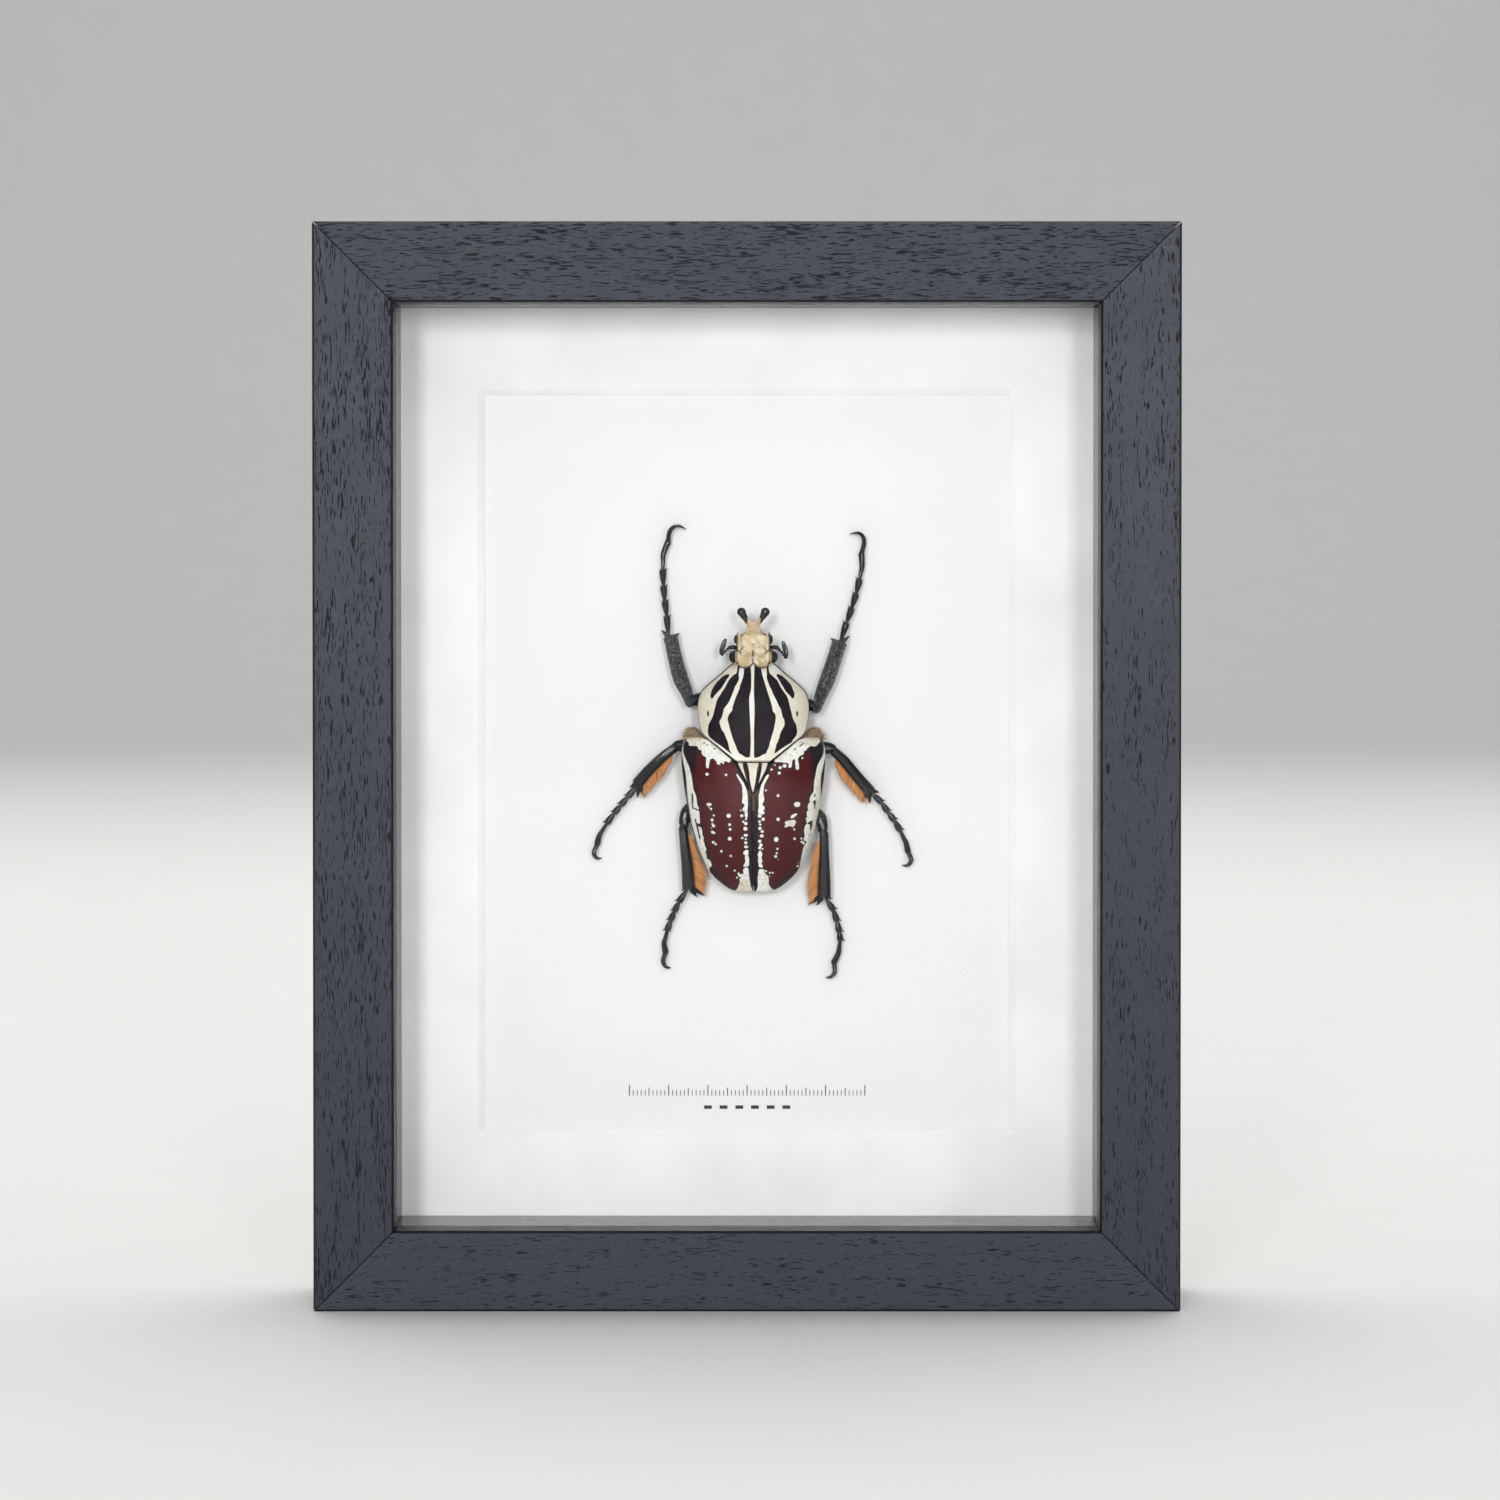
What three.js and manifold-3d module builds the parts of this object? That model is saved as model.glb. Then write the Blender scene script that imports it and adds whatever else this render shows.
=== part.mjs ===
// Framed goliath beetle: a black wooden box frame with glass, spacers, a bevelled mat, a white card
// and a dry beetle glued to the card by its belly.
// Millimetres, +Z up. The origin is the middle of the surface that the frame stands on, the glass
// faces -Y and +X is to the right of someone who looks at it.
import * as THREE from "three";
import { mergeVertices } from "three/addons/utils/BufferGeometryUtils.js";
import Module from "manifold-3d";

// Frame
const FRAME_WIDTH = 215;
const FRAME_HEIGHT = 270;
const FRAME_DEPTH = 40;
const FACE_WIDTH = 20;
const ARRIS = 0.6;
const LIP_DEPTH = 10;
const REBATE_WIDTH = 6;
const MITRE_GAP = 0.17;
const FIT_GAP = 0.3;
const SHEET_PLAY = 0.5;
const GLASS_THICKNESS = 2;
const SPACER_THICKNESS = 5.3;
const MAT_DEPTH = 32;
const MAT_THICKNESS = 1.4;
const WINDOW_WIDTH = 133.7;
const WINDOW_HEIGHT = 187;
const WINDOW_BEVEL = 1.5;
const CARD_THICKNESS = 1;
const BOARD_THICKNESS = 2.4;

// Back fittings
const TAB_WIDTH = 8;
const TAB_LENGTH = 15;
const TAB_IN_RAIL = 5;
const TAB_THICKNESS = 0.5;
const TAB_SLIT_GAP = 0.15;
const TAB_PLACES_ACROSS = [-50, 50];
const TAB_PLACES_UP = [-75, 75];
const HANGER_LENGTH = 46;
const HANGER_HEIGHT = 8;
const HANGER_THICKNESS = 0.6;
const HANGER_RISE = 0.9;
const HANGER_RAMP = 1.5;
const HANGER_FOOT = 8;
const HANGER_BELOW_TOP = 38;
const HANGER_TEETH = 7;
const TOOTH_DEPTH = 2;
const RIVET_RADIUS = 1.1;
const RIVET_SHANK = 2.4;
const RIVET_HOLE_DEPTH = 1.8;
const RIVET_HEAD_RADIUS = 2.2;
const RIVET_HEAD_HEIGHT = 0.7;

// Beetle: x to its right, y towards its horn, heights off the card. Its own origin lies on the card
// behind the middle of the pronotum's hind edge.
const BEETLE_RIGHT_OF_MIDDLE = 1.6;
const BEETLE_ABOVE_BASE = 135.5;
const WING_THICKNESS = 0.9;
const BODY_GAP = 0.75;
const SUTURE_HALF_GAP = 0.1;
const APEX_Y = -33.1;
const SHOULDER_Y = 6.2;
const SHOULDER_INNER_X = 12.9;
const SCUTELLUM_HALF_WIDTH = 4;
const SCUTELLUM_LENGTH = 7.75;
const SCUTELLUM_THICKNESS = 0.75;
const SCUTELLUM_SINK = 0.12;
const PRONOTUM_FRONT_Y = 24.9;
const PRONOTUM_HIND_Y = 0.35;
const PRONOTUM_RIM = 8.5;
const PRONOTUM_EDGE = 0.7;
const PRONOTUM_SPREAD = 14.7;
const HEAD_TOP = 12.2;
const HEAD_THICKNESS = 2.4;
const HEAD_LOBE = { x: 2.15, y: 26.1, radius: 2.2 };
const ANTENNA_HEIGHT = 8.1;
const CLAW_SPREAD = 0.55;

const UP = new THREE.Vector3(0, 0, 1);

const FINISHES = {
  wood: { color: 0x35353b, roughness: 0.55, metalness: 0 },
  glass: { color: 0xf4fafa, roughness: 0.03, metalness: 0 },
  spacer: { color: 0x4b4b52, roughness: 0.6, metalness: 0 },
  mat: { color: 0xf6f5f5, roughness: 0.95, metalness: 0 },
  card: { color: 0xf4f4f6, roughness: 0.9, metalness: 0 },
  board: { color: 0x8a6a48, roughness: 0.85, metalness: 0 },
  steel: { color: 0xa8a8a6, roughness: 0.35, metalness: 0.9 },
  maroon: { color: 0x4a1a1b, roughness: 0.3, metalness: 0 },
  striped: { color: 0xd8d2ba, roughness: 0.5, metalness: 0 },
  cream: { color: 0xdcd1af, roughness: 0.5, metalness: 0 },
  chitin: { color: 0x1d1b20, roughness: 0.25, metalness: 0 },
  belly: { color: 0x2a221e, roughness: 0.6, metalness: 0 },
  fringe: { color: 0xd77a2c, roughness: 0.8, metalness: 0 },
};

const wasm = await Module();
wasm.setup();

// Solids and meshes
function toSolid(geometry) {
  const bare = new THREE.BufferGeometry();
  bare.setAttribute("position", geometry.getAttribute("position").clone());
  if (geometry.index) bare.setIndex(geometry.index.clone());
  const merged = mergeVertices(bare, 1e-4);
  const mesh = new wasm.Mesh({
    numProp: 3,
    vertProperties: new Float32Array(merged.getAttribute("position").array),
    triVerts: new Uint32Array(merged.index.array),
  });
  return new wasm.Manifold(mesh);
}

function toGeometry(solid) {
  const mesh = solid.getMesh();
  const geometry = new THREE.BufferGeometry();
  const places = new Float32Array(mesh.vertProperties);
  geometry.setAttribute("position", new THREE.BufferAttribute(places, 3));
  geometry.setIndex(new THREE.BufferAttribute(new Uint32Array(mesh.triVerts), 1));
  geometry.computeVertexNormals();
  return geometry;
}

function join(...geometries) {
  return toGeometry(geometries.map(toSolid).reduce((whole, next) => whole.add(next)));
}

// What is left of a geometry after the tools are cut away. A loose sliver is dropped.
function cut(geometry, ...tools) {
  const left = tools.map(toSolid).reduce((whole, tool) => whole.subtract(tool), toSolid(geometry));
  const bodies = left.decompose();
  bodies.sort((a, b) => b.volume() - a.volume());
  return toGeometry(bodies[0]);
}

function piece(name, geometry, finish) {
  const mesh = new THREE.Mesh(geometry, new THREE.MeshStandardMaterial(FINISHES[finish]));
  mesh.name = name;
  return mesh;
}

function box(width, depth, height, x, y, z) {
  return new THREE.BoxGeometry(width, depth, height).translate(x, y, z);
}

// A closed mesh from points and faces, turned so that its faces point outwards.
function closedMesh(points, faces) {
  const volume = faces.reduce(
    (sum, [a, b, c]) => sum + points[a].dot(points[b].clone().cross(points[c])),
    0,
  );
  const outward = volume < 0 ? faces.map(([a, b, c]) => [a, c, b]) : faces;
  const geometry = new THREE.BufferGeometry().setFromPoints(points);
  geometry.setIndex(outward.flat());
  geometry.computeVertexNormals();
  return geometry;
}

// A skin over rings with equal numbers of points, closed by a fan at each end.
function loft(rings) {
  const count = rings[0].length;
  const points = rings.flat();
  const faces = [];
  for (let k = 0; k + 1 < rings.length; k += 1) {
    for (let i = 0; i < count; i += 1) {
      const a = k * count + i;
      const b = k * count + ((i + 1) % count);
      faces.push([a, b, b + count], [a, b + count, a + count]);
    }
  }
  for (const last of [false, true]) {
    const start = last ? (rings.length - 1) * count : 0;
    const ring = last ? rings.at(-1) : rings[0];
    const middle = ring.reduce((sum, p) => sum.add(p), new THREE.Vector3()).divideScalar(count);
    points.push(middle);
    for (let i = 0; i < count; i += 1) {
      const a = start + i;
      const b = start + ((i + 1) % count);
      faces.push(last ? [points.length - 1, a, b] : [points.length - 1, b, a]);
    }
  }
  return closedMesh(points, faces);
}

// A smooth value along a line, through [place, value] pairs whose places run one way.
function through(pairs) {
  const curve = new THREE.SplineCurve(pairs.map(([place, value]) => new THREE.Vector2(place, value)));
  const samples = curve.getPoints(pairs.length * 12);
  samples.sort((a, b) => a.x - b.x);
  return (place) => {
    const next = samples.findIndex((p) => p.x >= place);
    if (next < 0) return samples.at(-1).y;
    if (next === 0) return samples[0].y;
    const [low, high] = [samples[next - 1], samples[next]];
    const share = (place - low.x) / Math.max(high.x - low.x, 1e-9);
    return THREE.MathUtils.lerp(low.y, high.y, share);
  };
}

// A slab between a top and a bottom height, over rows that each span from one edge to the other.
// The rows run along y and span x, or with alongX the other way round.
function slab({ rows, shares, top, bottom, alongX = false }) {
  const points = [];
  for (const height of [top, bottom]) {
    for (const { at, from, to } of rows) {
      for (const share of shares) {
        const across = THREE.MathUtils.lerp(from, to, share);
        const [x, y] = alongX ? [at, across] : [across, at];
        points.push(new THREE.Vector3(x, y, height(x, y)));
      }
    }
  }
  const columns = shares.length;
  const under = rows.length * columns;
  const faces = [];
  for (let r = 0; r + 1 < rows.length; r += 1) {
    for (let c = 0; c + 1 < columns; c += 1) {
      const a = r * columns + c;
      const b = a + columns;
      faces.push([a, a + 1, b + 1], [a, b + 1, b]);
      faces.push([under + a, under + b + 1, under + a + 1], [under + a, under + b, under + b + 1]);
    }
  }
  const rim = [];
  for (let c = 0; c + 1 < columns; c += 1) rim.push(c);
  for (let r = 0; r + 1 < rows.length; r += 1) rim.push(r * columns + columns - 1);
  for (let c = columns - 1; c > 0; c -= 1) rim.push((rows.length - 1) * columns + c);
  for (let r = rows.length - 1; r > 0; r -= 1) rim.push(r * columns);
  rim.forEach((a, i) => {
    const b = rim[(i + 1) % rim.length];
    faces.push([b, a, under + a], [b, under + a, under + b]);
  });
  return closedMesh(points, faces);
}

// Shares of a span, from 0 to 1, that close up towards its end, or towards both ends.
function sharesToEnd(count) {
  return Array.from({ length: count + 1 }, (_, i) => Math.sin((i / count) * (Math.PI / 2)));
}

function sharesToBothEnds(count) {
  return Array.from({ length: count + 1 }, (_, i) => 0.5 - 0.5 * Math.cos((i / count) * Math.PI));
}

// A tapered limb through stations [x, y, height], with its half sizes across and upwards at each.
function limb(stations, across, upwards, sides = 8) {
  const centres = stations.map((station) => new THREE.Vector3(...station));
  const rings = centres.map((centre, k) => {
    const before = centres[Math.max(k - 1, 0)];
    const after = centres[Math.min(k + 1, centres.length - 1)];
    const forward = after.clone().sub(before).normalize();
    const side = forward.clone().cross(UP).normalize();
    const over = side.clone().cross(forward);
    return Array.from({ length: sides }, (_, i) => {
      const angle = ((i + 0.5) / sides) * 2 * Math.PI;
      return centre
        .clone()
        .addScaledVector(side, Math.cos(angle) * across[k])
        .addScaledVector(over, Math.sin(angle) * upwards[k]);
    });
  });
  return loft(rings);
}

// The same with a short rounded nose past each end.
function roundedLimb(stations, across, upwards, sides = 8) {
  const nose = (end, inner, size) => {
    const out = new THREE.Vector3(...end).sub(new THREE.Vector3(...inner)).normalize();
    return new THREE.Vector3(...end).addScaledVector(out, size * 0.5).toArray();
  };
  const first = nose(stations[0], stations[1], across[0]);
  const last = nose(stations.at(-1), stations.at(-2), across.at(-1));
  const tapered = (sizes) => [sizes[0] * 0.55, ...sizes, sizes.at(-1) * 0.55];
  return limb([first, ...stations, last], tapered(across), tapered(upwards), sides);
}

function spike(root, tip, radius) {
  return limb([root, tip], [radius, 0.06], [radius, 0.06], 3);
}

function ball(x, y, height, rx, ry, rz, around = 10, rows = 7) {
  return new THREE.SphereGeometry(1, around, rows).scale(rx, ry, rz).translate(x, y, height);
}

// Frame: four mitred rails
function railSection() {
  const back = FRAME_DEPTH;
  const wall = FACE_WIDTH - REBATE_WIDTH;
  return [
    [ARRIS, 0],
    [FACE_WIDTH - ARRIS, 0],
    [FACE_WIDTH, ARRIS],
    [FACE_WIDTH, LIP_DEPTH],
    [wall, LIP_DEPTH],
    [wall, back],
    [0, back],
    [0, ARRIS],
  ].map(([inset, depth]) => new THREE.Vector2(inset, depth));
}

function boardBack() {
  return MAT_DEPTH + MAT_THICKNESS + FIT_GAP + CARD_THICKNESS + FIT_GAP + BOARD_THICKNESS;
}

// One rail that lies along X with its outer edge down, mitred at both ends and slit for its tabs.
function railGeometry(length, tabPlaces) {
  const section = railSection();
  const points = [];
  for (const end of [-1, 1]) {
    for (const { x: inset, y: depth } of section) {
      const reach = length / 2 - inset - MITRE_GAP;
      points.push(new THREE.Vector3(end * reach, depth - FRAME_DEPTH / 2, inset));
    }
  }
  const count = section.length;
  const faces = [];
  for (let i = 0; i < count; i += 1) {
    const j = (i + 1) % count;
    faces.push([i, j, j + count], [i, j + count, i + count]);
  }
  for (const [a, b, c] of THREE.ShapeUtils.triangulateShape(section, [])) {
    faces.push([a, c, b], [a + count, b + count, c + count]);
  }
  const slits = tabPlaces.map((place) => tabBox(place, TAB_SLIT_GAP));
  return cut(closedMesh(points, faces), ...slits);
}

// A tab's box in its rail's own place, or the slit for it with a gap all round.
function tabBox(place, gap) {
  const wall = FACE_WIDTH - REBATE_WIDTH;
  const depth = boardBack() + FIT_GAP + TAB_THICKNESS / 2 - FRAME_DEPTH / 2;
  const middle = wall - TAB_IN_RAIL + TAB_LENGTH / 2;
  return box(
    TAB_WIDTH + 2 * gap,
    TAB_THICKNESS + 2 * gap,
    TAB_LENGTH + 2 * gap,
    place,
    depth,
    middle,
  );
}

function rail(name, length, tabPlaces, x, z, turn) {
  const side = new THREE.Group();
  side.add(piece(`rail_${name}`, railGeometry(length, tabPlaces), "wood"));
  tabPlaces.forEach((place, i) => {
    side.add(piece(`tab_${name}_${i + 1}`, tabBox(place, 0), "steel"));
  });
  side.position.set(x, 0, z);
  side.rotation.y = turn;
  return side;
}

function rails() {
  const group = new THREE.Group();
  const middle = FRAME_HEIGHT / 2;
  const edge = FRAME_WIDTH / 2;
  group.add(rail("bottom", FRAME_WIDTH, TAB_PLACES_ACROSS, 0, 0, 0));
  group.add(rail("top", FRAME_WIDTH, TAB_PLACES_ACROSS, 0, FRAME_HEIGHT, Math.PI));
  group.add(rail("left", FRAME_HEIGHT, TAB_PLACES_UP, -edge, middle, Math.PI / 2));
  group.add(rail("right", FRAME_HEIGHT, TAB_PLACES_UP, edge, middle, -Math.PI / 2));
  return group;
}

// A sheet that fills the rebate, from one depth behind the face to another.
function rebateSheet(front, thickness) {
  const loose = FACE_WIDTH - REBATE_WIDTH + SHEET_PLAY;
  return box(
    FRAME_WIDTH - 2 * loose,
    thickness,
    FRAME_HEIGHT - 2 * loose,
    0,
    front + thickness / 2 - FRAME_DEPTH / 2,
    FRAME_HEIGHT / 2,
  );
}

function spacers() {
  const group = new THREE.Group();
  const front = LIP_DEPTH + FIT_GAP + GLASS_THICKNESS + FIT_GAP;
  const deep = MAT_DEPTH - FIT_GAP - front;
  const y = front + deep / 2 - FRAME_DEPTH / 2;
  const wall = FACE_WIDTH - REBATE_WIDTH + FIT_GAP;
  const across = FRAME_WIDTH - 2 * wall;
  const upright = FRAME_HEIGHT - 2 * (wall + SPACER_THICKNESS + FIT_GAP);
  for (const [name, side] of [
    ["bottom", -1],
    ["top", 1],
  ]) {
    const z = FRAME_HEIGHT / 2 + side * (FRAME_HEIGHT / 2 - wall - SPACER_THICKNESS / 2);
    const strip = box(across, deep, SPACER_THICKNESS, 0, y, z);
    group.add(piece(`spacer_${name}`, strip, "spacer"));
  }
  for (const [name, side] of [
    ["left", -1],
    ["right", 1],
  ]) {
    const x = side * (FRAME_WIDTH / 2 - wall - SPACER_THICKNESS / 2);
    const strip = box(SPACER_THICKNESS, deep, upright, x, y, FRAME_HEIGHT / 2);
    group.add(piece(`spacer_${name}`, strip, "spacer"));
  }
  return group;
}

// The mat, with a window whose cut edge slopes outwards to the front.
function matGeometry() {
  const over = 1;
  const slope = WINDOW_BEVEL / MAT_THICKNESS;
  const rectangle = (grow, depth) => {
    const halfWidth = WINDOW_WIDTH / 2 + grow;
    const halfHeight = WINDOW_HEIGHT / 2 + grow;
    return [
      [-1, -1],
      [1, -1],
      [1, 1],
      [-1, 1],
    ].map(
      ([x, z]) =>
        new THREE.Vector3(
          x * halfWidth,
          depth - FRAME_DEPTH / 2,
          FRAME_HEIGHT / 2 + z * halfHeight,
        ),
    );
  };
  const window = loft([
    rectangle(WINDOW_BEVEL + slope * over, MAT_DEPTH - over),
    rectangle(-slope * over, MAT_DEPTH + MAT_THICKNESS + over),
  ]);
  return cut(rebateSheet(MAT_DEPTH, MAT_THICKNESS), window);
}

// Back board, sawtooth hanger and its two rivets
function rivetPlaces() {
  const reach = HANGER_LENGTH / 2 - HANGER_FOOT / 2;
  return [-reach, reach];
}

function hangerMiddle() {
  return FRAME_HEIGHT - HANGER_BELOW_TOP;
}

function rivetHole(x, front, back) {
  const length = back - front;
  return new THREE.CylinderGeometry(RIVET_RADIUS + FIT_GAP, RIVET_RADIUS + FIT_GAP, length, 8)
    .translate(x, (front + back) / 2 - FRAME_DEPTH / 2, hangerMiddle());
}

function backBoardGeometry() {
  const back = boardBack();
  const front = back - BOARD_THICKNESS;
  const holes = rivetPlaces().map((x) => rivetHole(x, back - RIVET_HOLE_DEPTH, back + 1));
  return cut(rebateSheet(front, BOARD_THICKNESS), ...holes);
}

function hangerGeometry() {
  const low = boardBack() + FIT_GAP - FRAME_DEPTH / 2;
  const half = HANGER_LENGTH / 2;
  const step = half - HANGER_FOOT;
  const lower = [
    [-half, 0],
    [-step, 0],
    [-step + HANGER_RAMP, HANGER_RISE],
    [step - HANGER_RAMP, HANGER_RISE],
    [step, 0],
    [half, 0],
  ];
  const outline = [
    ...lower,
    ...lower.toReversed().map(([x, rise]) => [x, rise + HANGER_THICKNESS]),
  ];
  const shape = new THREE.Shape(outline.map(([x, rise]) => new THREE.Vector2(x, rise)));
  const strip = new THREE.ExtrudeGeometry(shape, { depth: HANGER_HEIGHT, bevelEnabled: false })
    .translate(0, low, hangerMiddle() - HANGER_HEIGHT / 2);
  const toothed = step - HANGER_RAMP;
  const pitch = (2 * toothed) / HANGER_TEETH;
  const cutDepth = 6;
  const notches = Array.from({ length: HANGER_TEETH }, (_, i) => {
    const middle = pitch * (i + 0.5) - toothed;
    const notch = new THREE.Shape([
      new THREE.Vector2(middle - pitch * 0.44, -1),
      new THREE.Vector2(middle + pitch * 0.44, -1),
      new THREE.Vector2(middle, TOOTH_DEPTH),
    ]);
    return new THREE.ExtrudeGeometry(notch, { depth: cutDepth, bevelEnabled: false })
      .rotateX(Math.PI / 2)
      .translate(0, low + cutDepth - 2, hangerMiddle() - HANGER_HEIGHT / 2);
  });
  const back = boardBack();
  const holes = rivetPlaces().map((x) => rivetHole(x, back - 1, back + 2));
  return cut(strip, ...notches, ...holes);
}

function rivetGeometry(x) {
  const seat = boardBack() + FIT_GAP + HANGER_THICKNESS + 0.2;
  const profile = [
    [0, seat - RIVET_SHANK],
    [RIVET_RADIUS, seat - RIVET_SHANK],
    [RIVET_RADIUS, seat],
    [RIVET_HEAD_RADIUS, seat],
    [RIVET_HEAD_RADIUS * 0.85, seat + RIVET_HEAD_HEIGHT * 0.65],
    [0, seat + RIVET_HEAD_HEIGHT],
  ].map(([radius, depth]) => new THREE.Vector2(radius, depth - FRAME_DEPTH / 2));
  return new THREE.LatheGeometry(profile, 8).translate(x, 0, hangerMiddle());
}

function frameParts() {
  const group = new THREE.Group();
  const card = MAT_DEPTH + MAT_THICKNESS + FIT_GAP;
  group.add(rails());
  group.add(piece("glass", rebateSheet(LIP_DEPTH + FIT_GAP, GLASS_THICKNESS), "glass"));
  group.add(spacers());
  group.add(piece("mat_board", matGeometry(), "mat"));
  group.add(piece("backing_card", rebateSheet(card, CARD_THICKNESS), "card"));
  group.add(piece("back_board", backBoardGeometry(), "board"));
  group.add(piece("sawtooth_hanger", hangerGeometry(), "steel"));
  rivetPlaces().forEach((x, i) => {
    group.add(piece(`hanger_rivet_${i + 1}`, rivetGeometry(x), "steel"));
  });
  return group;
}

// Wing covers: half width, height of the middle line and height of the rim, along y
const wingHalfWidth = through([
  [SHOULDER_Y, 16.0],
  [5.6, 17.3],
  [4.4, 17.95],
  [2, 18.15],
  [-1, 18.1],
  [-8, 17.3],
  [-16.5, 15.65],
  [-22, 13.8],
  [-28.2, 10.9],
  [-31.3, 7.7],
  [-32.6, 5.6],
  [APEX_Y, 4.0],
]);
const wingCrest = through([
  [SHOULDER_Y, 16.2],
  [0, 17.4],
  [-8, 18.1],
  [-15, 17.8],
  [-21, 16.3],
  [-26, 13.9],
  [-30, 10.9],
  [-32.2, 8.7],
  [APEX_Y, 7.6],
]);
const wingRim = through([
  [SHOULDER_Y, 9.2],
  [0, 8.6],
  [-14, 8.0],
  [-25, 7.4],
  [APEX_Y, 6.7],
]);

function wingTop(x, y) {
  const share = Math.min(Math.abs(x) / wingHalfWidth(y), 1);
  const rise = (1 - share ** 2.5) ** 0.62;
  return wingRim(y) + (wingCrest(y) - wingRim(y)) * rise;
}

// The inner edge of a wing cover: beside the pronotum, then the scutellum, then the suture.
function wingInnerEdge(y) {
  if (y > 0) return 4.4 + 1.22 * y;
  const slope = SCUTELLUM_HALF_WIDTH / SCUTELLUM_LENGTH;
  return Math.max(SUTURE_HALF_GAP, 0.25 + slope * (y + SCUTELLUM_LENGTH));
}

function wingCover(name, side) {
  const stations = [5.6, 4.4, 2.5, 0, -2.5, -5, -7.6, -11, -14.5, -18, -21.5, -24.6];
  stations.push(-27.3, -29.4, -31, -32.1, -32.8, APEX_Y);
  const rows = stations.map((y) => ({
    at: y,
    from: side * wingInnerEdge(y),
    to: side * wingHalfWidth(y),
  }));
  rows.unshift({
    at: SHOULDER_Y,
    from: side * SHOULDER_INNER_X,
    to: side * wingHalfWidth(SHOULDER_Y),
  });
  const geometry = slab({
    rows,
    shares: sharesToEnd(7),
    top: wingTop,
    bottom: (x, y) => wingTop(x, y) - WING_THICKNESS,
  });
  return piece(name, geometry, "maroon");
}

function scutellum() {
  const rows = [0, -1.6, -3.2, -4.8, -6.4, -7.5].map((y) => {
    const half = (SCUTELLUM_HALF_WIDTH * (y + SCUTELLUM_LENGTH)) / SCUTELLUM_LENGTH;
    return { at: y, from: -half, to: half };
  });
  const geometry = slab({
    rows,
    shares: [0, 0.33, 0.67, 1],
    top: (x, y) => wingCrest(y) - SCUTELLUM_SINK - 0.25 * (x / SCUTELLUM_HALF_WIDTH) ** 2,
    bottom: (x, y) => wingCrest(y) - SCUTELLUM_SINK - SCUTELLUM_THICKNESS,
  });
  return piece("scutellum", geometry, "striped");
}

// Pronotum: the whole first segment of the thorax, domed above and keeled below
const pronotumHalfWidth = through([
  [PRONOTUM_FRONT_Y, 5.2],
  [24.4, 5.9],
  [22.3, 8.2],
  [20, 11.0],
  [17.8, 13.15],
  [15.5, 13.95],
  [13.4, 14.1],
  [10.9, 13.85],
  [8.6, 13.4],
  [7.2, 12.65],
  [6.1, 11.5],
  [3.2, 7.75],
  [PRONOTUM_HIND_Y, 4.15],
]);
const pronotumCrest = through([
  [PRONOTUM_FRONT_Y, 12.8],
  [22, 14.6],
  [17, 16.9],
  [11, 18.1],
  [4, 18.4],
  [PRONOTUM_HIND_Y, 18.1],
]);
const pronotumKeel = through([
  [PRONOTUM_FRONT_Y, 2.2],
  [20, 5.2],
  [5, 5.2],
  [PRONOTUM_HIND_Y, 4.2],
]);

// Behind the widest part the dome keeps its spread, so that the hind edge stands high.
function pronotumTop(x, y) {
  const outline = pronotumHalfWidth(Math.max(y, 9));
  const width = THREE.MathUtils.lerp(PRONOTUM_SPREAD, outline, THREE.MathUtils.smoothstep(y, 6, 14));
  const share = Math.min(Math.abs(x) / width, 1);
  return PRONOTUM_RIM + (pronotumCrest(y) - PRONOTUM_RIM) * (1 - share ** 2.6) ** 0.58;
}

function pronotumBottom(x, y) {
  const share = Math.min(Math.abs(x) / pronotumHalfWidth(y), 1);
  return PRONOTUM_RIM - PRONOTUM_EDGE - pronotumKeel(y) * (1 - share);
}

function pronotum() {
  const stations = [PRONOTUM_FRONT_Y, 24.2, 22.4, 20.4, 18.4, 16.4, 14.2, 11.6, 9.2, 7.5];
  stations.push(6.1, 3.4, PRONOTUM_HIND_Y);
  const rows = stations.map((y) => ({
    at: y,
    from: -pronotumHalfWidth(y),
    to: pronotumHalfWidth(y),
  }));
  const shield = slab({
    rows,
    shares: sharesToBothEnds(12),
    top: pronotumTop,
    bottom: pronotumBottom,
  });
  const hollows = [-1, 1].map((side) =>
    new THREE.CylinderGeometry(HEAD_LOBE.radius + FIT_GAP, HEAD_LOBE.radius + FIT_GAP, 30, 14)
      .rotateX(Math.PI / 2)
      .translate(side * HEAD_LOBE.x, HEAD_LOBE.y, 10),
  );
  return piece("pronotum", cut(shield, ...hollows), "striped");
}

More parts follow.
